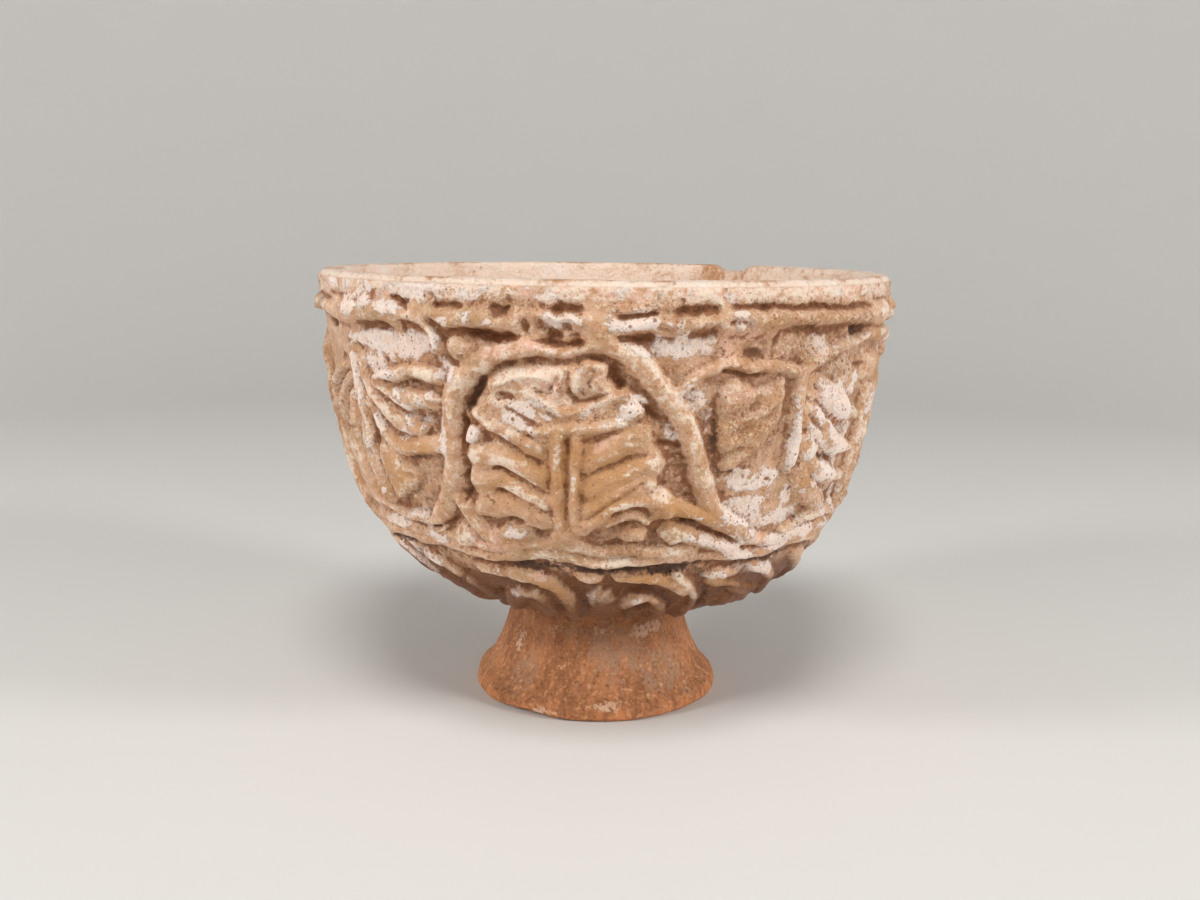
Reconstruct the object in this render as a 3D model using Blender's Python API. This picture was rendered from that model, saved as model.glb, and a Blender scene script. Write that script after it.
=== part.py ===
"""A carved pottery cup: a deep round bowl with carved panels, on a flared hollow foot.

The cup stands on its foot ring at Z = 0 with its middle on the Z axis, and its front towards -Y.
Lengths are metres. Angles run round the cup in degrees from the front, positive towards +X.
The carving is drawn on a flat sheet, as (degrees, millimetres down the wall from the lip), and
laid on the bowl, so it stretches with the wall.
"""

import math

import bpy
import numpy as np

MM = 0.001

# Bowl
CUP_HEIGHT = 94.4 * MM
RIM_RADIUS = 61.2 * MM
BOWL_DEPTH = 73.5 * MM
BOWL_TAPER = 0.122
BOWL_FULLNESS = 3.76
BOWL_SQUARENESS = 0.333
WALL = 4.6 * MM
LIP_ROUNDING = 1.3 * MM
FLOOR_RISE = 2.8 * MM
FLOOR_THICKNESS = 8.6 * MM

# Foot
NECK_RADIUS = 19.4 * MM
FOOT_FLARE = 8.5 * MM
FLARE_CURVE = 1.75
FOOT_LIP_BULGE = 1.0 * MM
FOOT_LIP_HEIGHT = 3.0 * MM
FOOT_LIP_SPREAD = 1.8 * MM
FOOT_EDGE_ROUNDING = 1.1 * MM
FOOT_WALL = 5.4 * MM
HOLLOW_SQUARENESS = 4.0

# Uneven making: the foot sits off the middle and one side of the bowl hangs lower
FOOT_SHIFT = -1.0 * MM
BOTTOM_SAG = 1.9 * MM
SAG_RISE = 7.2 * MM
SAG_SPREAD = 9.0 * MM

# Chip in the lip at the back
CHIP_ANGLE = 145.0
CHIP_WIDTH = 13.0 * MM
CHIP_DEPTH = 1.5 * MM

# Carving: heights over the plain ground
SHEET_LENGTH = 91.5
LIP_BAND_HEIGHT = 0.5 * MM
MOULDING_HEIGHT = 2.1 * MM
LOWER_BAND_HEIGHT = 1.2 * MM
ARCH_HEIGHT = 1.6 * MM
LEAF_HEIGHT = 1.5 * MM
SCROLL_HEIGHT = 1.4 * MM
GROOVE_DEPTH = 0.9 * MM

# Carving: distances down the sheet, in its millimetres
LIP_BAND_BOTTOM = 4.0
MOULDING_MIDDLE = 7.0
MOULDING_HALF = 2.4
LOWER_BAND_RIDGES = (50.8, 53.4)
LOWER_BAND_HALF = 1.5
LOWER_GROOVE = 55.3
SCROLL_EDGE = 81.0

# Mesh fineness. KEPT_SHARE is the share of the fine mesh's triangles that the solid keeps
COLUMNS = 600
CARVED_ROWS = 170
PLAIN_ROWS = 26
KEPT_SHARE = 0.0255
SOFTENING_PASSES = 3


# Profile


def smooth_step(x):
    x = np.clip(x, 0.0, 1.0)
    return x * x * (3.0 - 2.0 * x)


def bowl_radius(z):
    """Radius of the plain outer wall of the bowl at height z."""
    q = np.clip((CUP_HEIGHT - z) / BOWL_DEPTH, 0.0, 1.0)
    return RIM_RADIUS * (1.0 - BOWL_TAPER * q) * (1.0 - q**BOWL_FULLNESS) ** BOWL_SQUARENESS


def foot_height():
    """Height at which the bowl's curve closes in to the neck of the foot."""
    z = np.linspace(CUP_HEIGHT - BOWL_DEPTH, CUP_HEIGHT - 0.5 * BOWL_DEPTH, 4001)
    return float(z[np.argmax(bowl_radius(z) >= NECK_RADIUS)])


def floor_height():
    """Height of the middle of the bowl's floor."""
    return foot_height() + FLOOR_RISE


def foot_radius(z):
    """Radius of the foot's outer side at height z."""
    share = np.clip(z / foot_height(), 0.0, 1.0)
    bulge = FOOT_LIP_BULGE * np.exp(-(((z - FOOT_LIP_HEIGHT) / FOOT_LIP_SPREAD) ** 2))
    return NECK_RADIUS + FOOT_FLARE * (1.0 - share) ** FLARE_CURVE + bulge


def resample(points, count):
    """The same path with count points at even distances along it."""
    points = np.asarray(points, float)
    steps = np.hypot(*np.diff(points, axis=0).T)
    along = np.concatenate([[0.0], np.cumsum(steps)])
    wanted = np.linspace(0.0, along[-1], count)
    return np.stack([np.interp(wanted, along, points[:, i]) for i in (0, 1)], axis=1)


def quarter(centre, radius, start, steps=5):
    """Points of a quarter circle from the angle start, turning clockwise, in (r, z)."""
    angles = np.radians(np.linspace(start, start - 90.0, steps))
    return [(centre[0] + radius * math.cos(a), centre[1] + radius * math.sin(a)) for a in angles]


def bowl_wall():
    """Outer wall of the bowl from the lip down to the neck, as (r, z)."""
    share = np.sin(np.linspace(0.0, 0.5 * math.pi, 4001))
    z = CUP_HEIGHT - LIP_ROUNDING - (CUP_HEIGHT - LIP_ROUNDING - foot_height()) * share
    return np.stack([bowl_radius(z), z], axis=1)


def inner_wall():
    """Inside of the bowl from the middle of its floor up to the lip, as (r, z)."""
    floor = floor_height()
    outer = bowl_wall()[::-1]
    slope = np.gradient(outer, axis=0)
    slope /= np.hypot(slope[:, 0], slope[:, 1])[:, None]
    inside = outer + WALL * np.stack([-slope[:, 1], slope[:, 0]], axis=1)
    inside = inside[(inside[:, 0] > NECK_RADIUS) & (inside[:, 1] > floor)]
    start = inside[0]
    share = np.linspace(0.0, 1.0, 20)[:-1]
    dish = [(start[0] * t, floor + (start[1] - floor) * t**2.4) for t in share]
    path = np.concatenate([dish, inside])
    return path[path[:, 1] < CUP_HEIGHT - LIP_ROUNDING]


def section():
    """Rows of the half section as (r, z), from the floor's middle over the lip to the foot's hollow.

    Also gives for each row its distance down the outer wall, on the carving's sheet, or -1 elsewhere.
    """
    lip_outer = float(bowl_radius(CUP_HEIGHT - LIP_ROUNDING))
    inside = resample(inner_wall(), PLAIN_ROWS * 2)
    lip_level = CUP_HEIGHT - LIP_ROUNDING
    lip = quarter((lip_outer - WALL + LIP_ROUNDING, lip_level), LIP_ROUNDING, 180.0)
    lip += quarter((lip_outer - LIP_ROUNDING, lip_level), LIP_ROUNDING, 90.0)[:-1]
    wall = resample(bowl_wall(), CARVED_ROWS)
    foot_z = np.linspace(foot_height(), FOOT_EDGE_ROUNDING, 400)[1:]
    foot = resample(np.stack([foot_radius(foot_z), foot_z], axis=1), PLAIN_ROWS)
    edge_radius = float(foot_radius(np.array(FOOT_EDGE_ROUNDING)))
    edge_middle = (edge_radius - FOOT_EDGE_ROUNDING, FOOT_EDGE_ROUNDING)
    edge = quarter(edge_middle, FOOT_EDGE_ROUNDING, 0.0)[1:]
    share = np.sin(np.linspace(0.0, 0.5 * math.pi, 2 * PLAIN_ROWS))
    closing = np.sqrt(1.0 - share**HOLLOW_SQUARENESS)
    hollow_z = (floor_height() - FLOOR_THICKNESS) * share
    hollow = np.stack([(foot_radius(hollow_z) - FOOT_WALL) * closing, hollow_z], axis=1)
    rows = [*map(tuple, inside), *lip, *map(tuple, wall), *map(tuple, foot), *edge, *map(tuple, hollow)]
    down = np.full(len(rows), -1.0)
    first = len(inside) + len(lip)
    down[first : first + CARVED_ROWS] = np.linspace(LIP_ROUNDING / MM, SHEET_LENGTH, CARVED_ROWS)
    return np.array(rows), down


# Carving


def curve_through(points, steps=8):
    """A smooth path through a few points given as (degrees, millimetres down)."""
    p = np.asarray(points, float)
    p = np.concatenate([[2.0 * p[0] - p[1]], p, [2.0 * p[-1] - p[-2]]])
    t = np.linspace(0.0, 1.0, steps, endpoint=False)[:, None]
    pieces = []
    for a, b, c, d in zip(p[:-3], p[1:-2], p[2:-1], p[3:]):
        cubic = 2.0 * b + (c - a) * t
        cubic = cubic + (2.0 * a - 5.0 * b + 4.0 * c - d) * t**2
        cubic = cubic + (3.0 * b - a - 3.0 * c + d) * t**3
        pieces.append(0.5 * cubic)
    return np.concatenate([*pieces, p[-2:-1]])


class Carving:
    """Heights of the carved surface over the plain ground, on a grid of rows down by columns round.

    A motif is drawn where it stands at the front of the cup, and turn carries it round to its place.
    """

    def __init__(self, angles, downs, radii, stretch):
        self.angles = angles
        self.downs = downs
        self.stretch = stretch
        self.per_degree = radii * math.radians(1.0)
        self.turn = 0.0
        self.height = np.zeros((len(downs), len(angles)))

    def curve(self, points):
        return curve_through(points) + np.array([self.turn, 0.0])

    def window(self, path, reach):
        """Row and column numbers near a path, with the columns' angles on the path's own turn."""
        room = reach / self.stretch
        lowest, highest = path[:, 1].min() - room, path[:, 1].max() + room
        rows = np.where((self.downs > lowest) & (self.downs < highest))[0]
        if not len(rows):
            return rows, rows, rows
        room = reach / self.per_degree[rows].min()
        step = self.angles[1] - self.angles[0]
        first = math.floor((path[:, 0].min() - room - self.angles[0]) / step)
        last = math.ceil((path[:, 0].max() + room - self.angles[0]) / step)
        columns = np.arange(first, min(last + 1, first + len(self.angles)))
        return rows, columns % len(self.angles), self.angles[0] + columns * step

    def distances(self, path, reach):
        """For the cells near a path: where they are, how far from it, and how far along it."""
        rows, columns, angles = self.window(path, reach)
        if not len(rows):
            return None
        across = self.per_degree[rows][:, None]
        nearest = np.full((len(rows), len(columns)), np.inf)
        along = np.zeros_like(nearest)
        pieces = len(path) - 1
        for number, (start, end) in enumerate(zip(path[:-1], path[1:])):
            run = (end - start)[0] * across
            drop = (end - start)[1] * self.stretch
            from_x = (angles[None, :] - start[0]) * across
            from_y = (self.downs[rows][:, None] - start[1]) * self.stretch
            length = np.maximum(run**2 + drop**2, 1e-12)
            share = np.clip((from_x * run + from_y * drop) / length, 0.0, 1.0)
            gap = np.hypot(from_x - share * run, from_y - share * drop)
            closer = gap < nearest
            nearest = np.where(closer, gap, nearest)
            along = np.where(closer, (number + share) / pieces, along)
        return np.ix_(rows, columns), nearest, along

    def ridge(self, points, width, height, narrow=1.0, roundness=0.7):
        """A raised rib along points. narrow is its end width as a share of its first width."""
        found = self.distances(self.curve(points), width * max(1.0, narrow))
        if found:
            cells, gap, along = found
            half = 0.5 * width * (1.0 + (narrow - 1.0) * along)
            rise = height * np.clip(1.0 - (gap / half) ** 2, 0.0, 1.0) ** roundness
            self.height[cells] = np.maximum(self.height[cells], rise)

    def leaf(self, points, width, height):
        """A raised leaf along points: narrow at its root, widest past its middle, round at its tip."""
        found = self.distances(self.curve(points), width)
        if found:
            cells, gap, along = found
            half = 0.5 * width * (0.35 + 0.65 * smooth_step(1.6 * along))
            rise = height * np.clip(1.0 - (gap / half) ** 2, 0.0, 1.0) ** 0.7
            self.height[cells] = np.maximum(self.height[cells], rise)

    def groove(self, points, width, depth):
        """A sunk line along points, fading at its ends."""
        found = self.distances(self.curve(points), width)
        if found:
            cells, gap, along = found
            fade = smooth_step(np.minimum(along, 1.0 - along) * 6.0 + 0.4)
            self.height[cells] -= depth * fade * np.clip(1.0 - (2.0 * gap / width) ** 2, 0.0, 1.0)

    def mound(self, centre, size, height, tilt=0.0):
        """A raised oval of the given length and width, tilted anticlockwise by tilt degrees."""
        share, cells = self.oval(centre, size, tilt)
        if cells is not None:
            rise = height * np.clip(1.0 - share**2, 0.0, 1.0) ** 0.7
            self.height[cells] = np.maximum(self.height[cells], rise)

    def pit(self, centre, size, depth, tilt=0.0):
        """A sunk oval of the given length and width, tilted anticlockwise by tilt degrees."""
        share, cells = self.oval(centre, size, tilt)
        if cells is not None:
            self.height[cells] -= depth * np.clip(1.0 - share**2, 0.0, 1.0)

    def oval(self, centre, size, tilt):
        """How far out each cell near an oval lies, 1 at its edge, and which cells they are."""
        middle = np.array([centre]) + np.array([[self.turn, 0.0]])
        rows, columns, angles = self.window(middle, 0.5 * max(size))
        if not len(rows):
            return None, None
        x = (angles[None, :] - middle[0, 0]) * self.per_degree[rows][:, None]
        y = (centre[1] - self.downs[rows][:, None]) * self.stretch
        c = math.cos(math.radians(tilt))
        s = math.sin(math.radians(tilt))
        long_way = (x * c + y * s) / (0.5 * size[0])
        short_way = (y * c - x * s) / (0.5 * size[1])
        return np.hypot(long_way, short_way), np.ix_(rows, columns)


def carve_bands(carving):
    """The plain lip band, the roll below it and the double band under the panels."""
    downs = carving.downs[:, None]
    angles = np.radians(carving.angles)[None, :]
    lip = LIP_BAND_HEIGHT * smooth_step((LIP_BAND_BOTTOM + 0.8 - downs) / 0.8)
    wander = 0.25 * np.sin(5.0 * angles + 1.0) + 0.15 * np.sin(11.0 * angles)
    roll_half = MOULDING_HALF * (1.0 + 0.08 * np.sin(7.0 * angles))
    off = (downs - MOULDING_MIDDLE - wander) / roll_half
    roll = MOULDING_HEIGHT * np.clip(1.0 - off**2, 0.0, 1.0) ** 0.7
    carving.height = np.maximum(carving.height, np.maximum(lip, roll))
    for number, middle in enumerate(LOWER_BAND_RIDGES):
        wave = 0.5 * np.sin((9.0 + 2.0 * number) * angles + number) + 0.3 * np.sin(17.0 * angles + 2.0)
        off = (downs - middle - wave) / LOWER_BAND_HALF
        ridge = LOWER_BAND_HEIGHT * (1.0 + 0.25 * np.sin(13.0 * angles + number))
        rise = ridge * np.clip(1.0 - off**2, 0.0, 1.0) ** 0.7
        carving.height = np.maximum(carving.height, rise)


def carve_band_slots(carving):
    """Slots left by the tool above and below the roll, and bosses on it."""
    upper = ((-40, -35), (-30, -24), (-15, -12), (-8, -3), (1, 8), (11, 17), (20, 33), (35, 46))
    lower = ((-52, -40), (-38, -33), (-19, -15), (-9, -2), (2, 8), (13, 19), (33, 47), (50, 60))
    for start, end in (*upper, (49, 60), (66, 75)):
        carving.groove(((start, 5.0), (end, 4.9)), 1.5 * MM, GROOVE_DEPTH)
    for start, end in lower:
        carving.groove(((start, 8.9), (end, 9.1)), 1.7 * MM, GROOVE_DEPTH)
    carving.ridge(((-34, 6), (-32.5, 9), (-31, 12.5)), 2.6 * MM, MOULDING_HEIGHT)
    carving.mound((-25, 12.3), (6.5 * MM, 3.6 * MM), LEAF_HEIGHT, -12.0)
    carving.mound((-48, 6.0), (4.2 * MM, 3.6 * MM), MOULDING_HEIGHT + 0.4 * MM)
    carving.mound((-1, 9.0), (2.6 * MM, 3.0 * MM), MOULDING_HEIGHT)
    carving.pit((27, 12.8), (6.8 * MM, 3.6 * MM), GROOVE_DEPTH, -6.0)
    carving.pit((54, 10.6), (6.0 * MM, 2.4 * MM), GROOVE_DEPTH)


def carve_arch(carving):
    """The tall arch round the palmette, with its feet."""
    left_side = ((-38, 49.5), (-33, 44), (-29.5, 39), (-28, 30), (-27.3, 22))
    left_bend = ((-24, 17), (-17, 13.4), (-9, 11.4), (0, 10.4))
    right_bend = ((-2, 9.8), (4, 12.8), (9, 17), (13, 21.5))
    right_side = ((15.5, 27), (18, 34), (20.5, 41), (26, 46.5), (33, 51))
    carving.ridge((*left_side, *left_bend), 4.2 * MM, ARCH_HEIGHT)
    carving.ridge((*right_bend, *right_side), 4.4 * MM, ARCH_HEIGHT)
    carving.ridge(((-29, 41), (-26, 46), (-24, 51)), 3.6 * MM, ARCH_HEIGHT)
    carving.ridge(((15, 41.5), (19, 43), (24, 48), (30, 52)), 3.2 * MM, ARCH_HEIGHT)
    tendril = ((13, 19.5), (17, 16.5), (21, 14.8), (26, 16), (31, 15.6), (37, 17))
    carving.ridge(tendril, 2.6 * MM, LEAF_HEIGHT)
    carving.mound((-28.5, 49.3), (5.6 * MM, 4.2 * MM), LEAF_HEIGHT)
    inner_edge = ((-21.5, 17), (-24.6, 24), (-25.6, 30), (-25.4, 36), (-26.8, 42))
    carving.groove(inner_edge, 2.2 * MM, 0.7 * MM)
    carving.groove(((1, 14), (5.5, 20), (9.5, 26), (12, 32), (13.5, 38)), 2.6 * MM, 0.7 * MM)
    carving.groove(((-38, 48.6), (-34, 47), (-30.5, 45.6)), 1.8 * MM, GROOVE_DEPTH)
    carving.groove(((20, 46.3), (24, 48), (29, 50)), 1.2 * MM, GROOVE_DEPTH)
    carving.pit((16.8, 44.7), (4.6 * MM, 1.8 * MM), 1.2 * MM, -8.0)


def carve_palmette(carving):
    """The rising palmette: a double stem, leaves to both sides, a nested cup and a round head."""
    stem_top, stem_foot = 27.0, 46.5
    carving.ridge(((-8.1, stem_top), (-8.0, stem_foot)), 3.0 * MM, LEAF_HEIGHT)
    carving.ridge(((-5.0, stem_top), (-5.3, stem_foot)), 2.4 * MM, LEAF_HEIGHT)
    for number in range(5):
        root = (-10.0, 46.0 - 4.3 * number)
        tip = (-24.5 + 0.6 * number, 38.6 - 4.0 * number)
        middle = (-17.0, 0.5 * (root[1] + tip[1]) + 0.4)
        carving.leaf((root, middle, tip), 3.9 * MM, LEAF_HEIGHT)
    right_leaves = (
        ((-4, 45), (4, 38.5), (9, 35)),
        ((-3.6, 40.5), (1.5, 35.5), (9.5, 31)),
        ((-3, 35.5), (1.5, 30), (7.5, 27)),
    )
    for leaf in right_leaves:
        carving.leaf(leaf, 4.4 * MM, LEAF_HEIGHT)
    carving.leaf(((-5, 46.5), (0, 42.2), (6, 39.4), (11, 39.6), (13, 41.5)), 3.6 * MM, LEAF_HEIGHT)
    carving.leaf(((0.5, 44.4), (5, 42.6), (9, 44.6)), 2.8 * MM, LEAF_HEIGHT)
    for centre, across in (((-7.5, 48.2), 5.2), ((7, 46.4), 5.4), ((14, 47.4), 5.6), ((-17, 48.0), 6.0)):
        carving.mound((centre[0], centre[1]), (across * MM, 4.2 * MM), LEAF_HEIGHT)
    for reach, level in ((11.5, 26.3), (9.0, 24.2), (6.5, 22.0)):
        left_half = ((-6.5 - reach, level - 4.4), (-11.5, level - 1.0), (-6.5, level))
        right_half = ((0, level - 1.2), (reach - 6.5, level - 4.2))
        carving.ridge((*left_half, *right_half), 2.2 * MM, 0.85 * LEAF_HEIGHT)
    carving.mound((-1.8, 16.8), (7.0 * MM, 6.6 * MM), LEAF_HEIGHT, 90.0)
    carving.mound((-13.0, 17.6), (13.0 * MM, 5.4 * MM), 0.9 * LEAF_HEIGHT, 12.0)
    carving.groove(((-24.5, 45.2), (-20, 44.8), (-16, 45.2), (-11, 47.5)), 1.6 * MM, 0.8 * GROOVE_DEPTH)
    carving.groove(((-3.5, 47.4), (1, 46), (4, 45.4)), 1.8 * MM, GROOVE_DEPTH)


def carve_medallion(carving):
    """The narrow leaf medallion to the right of the arch, over a plain field."""
    carving.mound((27, 25.5), (18.5 * MM, 14.0 * MM), 1.1 * LEAF_HEIGHT, 90.0)
    carving.ridge(((37.5, 18), (38, 26), (38.5, 35)), 3.2 * MM, 0.9 * ARCH_HEIGHT)
    for level in (22.5, 27.0, 31.2):
        vein = ((20.5, level + 2.2), (25, level + 0.6), (30, level - 2.4), (33, level - 4.4))
        carving.groove(vein, 1.5 * MM, 0.5 * GROOVE_DEPTH)
    carving.groove(((35, 18), (35.2, 24), (34.6, 30)), 1.9 * MM, 0.9 * GROOVE_DEPTH)
    carving.groove(((21, 34.5), (24, 36), (27.5, 35.4), (31, 33)), 1.6 * MM, 0.7 * GROOVE_DEPTH)
    carving.groove(((22.6, 40.4), (25, 40.6), (29, 39.4)), 1.3 * MM, 0.6 * GROOVE_DEPTH)


def carve_drooping_palmette(carving):
    """The drooping palmette to the left of the arch: lobes to its right and long leaves below."""
    lobes = (
        ((-48, 20.5), (-42, 18.6), (-36, 18), (-31, 18.2)),
        ((-48, 21), (-43, 22.8), (-37, 24.2), (-31, 23.4)),
        ((-50, 22.5), (-45.5, 26), (-40, 27.6), (-32.5, 26)),
        ((-51, 24.5), (-47, 29), (-42, 32), (-36, 33), (-30.5, 31.4)),
    )
    for number, lobe in enumerate(lobes):
        carving.leaf(lobe, (3.2 + 0.25 * number) * MM, LEAF_HEIGHT)
    carving.leaf(((-50, 28), (-46.5, 33), (-43.5, 37.5), (-44, 43)), 8.0 * MM, LEAF_HEIGHT)
    carving.leaf(((-53, 24), (-53, 32), (-52, 38), (-51, 44)), 4.6 * MM, LEAF_HEIGHT)
    carving.leaf(((-56, 24), (-58.5, 30), (-60, 36), (-56, 42)), 6.4 * MM, LEAF_HEIGHT)
    carving.leaf(((-57, 20), (-62, 24), (-66, 30), (-68, 38)), 5.2 * MM, LEAF_HEIGHT)
    carving.leaf(((-56, 18), (-62, 19), (-67.5, 22), (-71, 28)), 4.2 * MM, LEAF_HEIGHT)
    carving.ridge(((-53, 15), (-52, 24)), 3.6 * MM, LEAF_HEIGHT)
    carving.ridge(((-76, 16), (-77, 32), (-77, 42), (-72, 50)), 3.2 * MM, ARCH_HEIGHT)
    carving.ridge(((-64, 45), (-55, 46), (-46, 47.4), (-38, 47.2)), 2.4 * MM, LEAF_HEIGHT)
    carving.groove(((-50.5, 22), (-50, 31), (-48.6, 40)), 1.4 * MM, 0.8 * GROOVE_DEPTH)
    carving.groove(((-38, 19.8), (-34, 20.2), (-30, 20)), 1.7 * MM, GROOVE_DEPTH)
    carving.groove(((-41, 34.2), (-37, 35), (-31, 34)), 1.6 * MM, GROOVE_DEPTH)
    carving.groove(((-45, 44.6), (-41, 42), (-37.5, 38.4), (-33.5, 36.6)), 1.8 * MM, 0.8 * GROOVE_DEPTH)


def carve_side_palmette(carving):
    """The palmette to the right of the medallion: a stem between leaves that rise to both sides."""
    stem = 64.0
    carving.ridge(((stem - 1.7, 22), (stem - 1.7, 46)), 2.8 * MM, LEAF_HEIGHT)
    carving.ridge(((stem + 1.7, 22), (stem + 1.7, 46)), 2.8 * MM, LEAF_HEIGHT)
    leaves = (
        ((4, 27.5), (13, 24.5), (22, 18.5)),
        ((4, 34), (13, 32.5), (18.5, 29.5), (23, 23)),
        ((4, 40.5), (11, 39), (17.5, 35.5), (22.5, 29.5)),
        ((4, 46), (12, 44.5), (18.5, 41), (21.5, 37)),
    )
    for leaf in leaves:
        for side in (-1, 1):
            path = [(stem + side * across, down) for across, down in leaf]
            carving.leaf(path, 5.4 * MM, LEAF_HEIGHT)
    carving.mound((stem, 17.5), (13.0 * MM, 6.5 * MM), LEAF_HEIGHT)
    carving.ridge(((91, 50), (91, 30), (86, 18), (76, 12), (64, 10.5)), 3.6 * MM, ARCH_HEIGHT)
    carving.ridge(((38, 17), (44, 13.2), (54, 11), (64, 10.5)), 3.2 * MM, 0.8 * ARCH_HEIGHT)
    carving.ridge(((42, 49), (52, 47.2), (64, 48), (76, 47.2), (86, 49)), 2.4 * MM, LEAF_HEIGHT)
    carving.pit((56, 44.6), (4.6 * MM, 3.4 * MM), 0.8 * GROOVE_DEPTH, -20.0)


def carve_scrolls(carving):
    """The running scroll on the underside: a leaf, a spiral, a lobe and two slanting strips."""
    for start, end in ((-42, -34), (-32, -9), (-6, 18), (21, 32), (34, 45), (52, 60), (66, 74)):
        carving.groove(((start, LOWER_GROOVE), (end, LOWER_GROOVE + 0.3)), 2.0 * MM, 1.1 * GROOVE_DEPTH)
    carving.ridge(((-60, 57), (-51, 62.5), (-46, 70), (-42, 79)), 4.0 * MM, SCROLL_HEIGHT, 0.8)
    carving.ridge(((-44, 57), (-38, 61), (-34, 67), (-33, 76)), 3.6 * MM, SCROLL_HEIGHT, 0.8)
    carving.mound((-21, 68.5), (9.0 * MM, 7.5 * MM), SCROLL_HEIGHT)
    carving.pit((-19, 69.5), (2.4 * MM, 2.0 * MM), 0.8 * GROOVE_DEPTH)
    carving.ridge(((-27, 59), (-18, 59.5), (-10.5, 63), (-7, 69), (-8.5, 77)), 4.2 * MM, SCROLL_HEIGHT)
    carving.ridge(((-2.5, 61.5), (-2.5, 67.5), (2, 73), (9, 76)), 4.0 * MM, SCROLL_HEIGHT)
    carving.ridge(((3, 58), (12, 58.5), (21, 62.5), (27, 69), (29, 77)), 4.0 * MM, SCROLL_HEIGHT)
    carving.leaf(((4, 65), (11, 65), (17, 69), (16, 74.5), (9, 72)), 3.6 * MM, SCROLL_HEIGHT)
    carving.ridge(((20, 57), (30, 60), (42, 60), (52, 59)), 2.8 * MM, 0.8 * SCROLL_HEIGHT)
    carving.mound((42, 69.0), (15.0 * MM, 7.0 * MM), SCROLL_HEIGHT, 8.0)
    carving.ridge(((50, 57), (56, 62), (55, 68)), 2.6 * MM, SCROLL_HEIGHT)
    spiral = ((4, 60.8), (11, 61.8), (18, 65.6), (21.5, 71), (20.5, 77))
    carving.groove(spiral, 1.6 * MM, 0.7 * GROOVE_DEPTH)
    carving.pit((-4.5, 72.0), (3.0 * MM, 4.0 * MM), 0.8 * GROOVE_DEPTH)


def carve_all(carving):
    """The whole carving. Each panel's drawing is turned from where it is drawn to where it stands."""
    carve_bands(carving)
    for carving.turn in (0.0, 192.0):
        carve_drooping_palmette(carving)
    for carving.turn in (0.0, 74.0, 192.0):
        carve_medallion(carving)
    for carving.turn in (0.0, 190.0):
        carve_side_palmette(carving)
    for carving.turn in (0.0, 192.0):
        carve_palmette(carving)
        carve_arch(carving)
    for carving.turn in (0.0, 120.0, 240.0):
        carve_scrolls(carving)
        carve_band_slots(carving)
    below = smooth_step((SCROLL_EDGE - carving.downs) / 4.0)[:, None]
    return softened(carving.height * below)


def softened(height):
    """The heights with their edges worn soft, each cell shared with its neighbours."""
    for _ in range(SOFTENING_PASSES):
        height = (np.roll(height, 1, axis=1) + 2.0 * height + np.roll(height, -1, axis=1)) / 4.0
        beyond = np.pad(height, ((1, 1), (0, 0)), mode="edge")
        height = (beyond[:-2] + 2.0 * height + beyond[2:]) / 4.0
    return height


# Cup


def place(radius, height, angle):
    """Grid points as (x, y, z), with the foot set off the middle and one side of the bowl hanging."""
    in_foot = smooth_step((foot_height() + 1.5 * MM - height) / (3.0 * MM))
    in_bowl = smooth_step((height - foot_height()) / (3.0 * MM))
    x = radius * np.sin(angle)
    off_level = (height - foot_height() - SAG_RISE) / SAG_SPREAD
    hang = BOTTOM_SAG * (x / RIM_RADIUS) * np.exp(-(off_level**2)) * in_bowl
    return np.stack([x + FOOT_SHIFT * in_foot, -radius * np.cos(angle), height - hang], axis=-1)


def grid_points():
    """All rings of the cup, from the floor's middle over the lip, down the wall and into the foot."""
    rows, down = section()
    angles = np.arange(COLUMNS) * 360.0 / COLUMNS
    on_wall = down >= 0.0
    wall = rows[on_wall]
    steps = np.hypot(*np.diff(wall, axis=0).T)
    stretch = float(steps.sum()) / (SHEET_LENGTH - LIP_ROUNDING / MM)
    carving = Carving(angles, down[on_wall], wall[:, 0], stretch)
    raised = carve_all(carving)
    slope = np.gradient(wall, axis=0)
    slope /= np.hypot(slope[:, 0], slope[:, 1])[:, None]
    radius = np.repeat(rows[:, 0][:, None], COLUMNS, axis=1)
    height = np.repeat(rows[:, 1][:, None], COLUMNS, axis=1)
    radius[on_wall] += raised * -slope[:, 1][:, None]
    height[on_wall] += raised * slope[:, 0][:, None]
    bite = (angles - CHIP_ANGLE) * math.radians(1.0) * RIM_RADIUS / (0.5 * CHIP_WIDTH)
    bite = CHIP_DEPTH * smooth_step(1.6 * (1.0 - np.abs(bite)))
    near_lip = smooth_step((height - CUP_HEIGHT + 4.0 * CHIP_DEPTH) / (4.0 * CHIP_DEPTH))
    height -= bite[None, :] * near_lip
    return place(radius, height, np.radians(angles)[None, :])[1:-1]


def closed_mesh(name, points):
    """A closed mesh of rings joined by quads, with a point at the middle of the first and last ring."""
    rings, columns = points.shape[:2]
    number = np.arange(rings * columns).reshape(rings, columns)
    beside = np.roll(number, -1, axis=1)
    quads = np.stack([number[:-1], number[1:], beside[1:], beside[:-1]], axis=-1).reshape(-1, 4)
    first = rings * columns
    ends = [(first, number[0], beside[0], 1), (first + 1, number[-1], beside[-1], -1)]
    middles = [points[0].mean(axis=0), points[-1].mean(axis=0)]
    faces = [tuple(face) for face in quads.tolist()]
    for middle, here, there, way in ends:
        pair = list(zip(here.tolist(), there.tolist()))
        faces += [(middle, a, b) if way > 0 else (middle, b, a) for a, b in pair]
    mesh = bpy.data.meshes.new(name)
    mesh.from_pydata([*map(tuple, points.reshape(-1, 3)), *map(tuple, middles)], [], faces)
    return mesh


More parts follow.
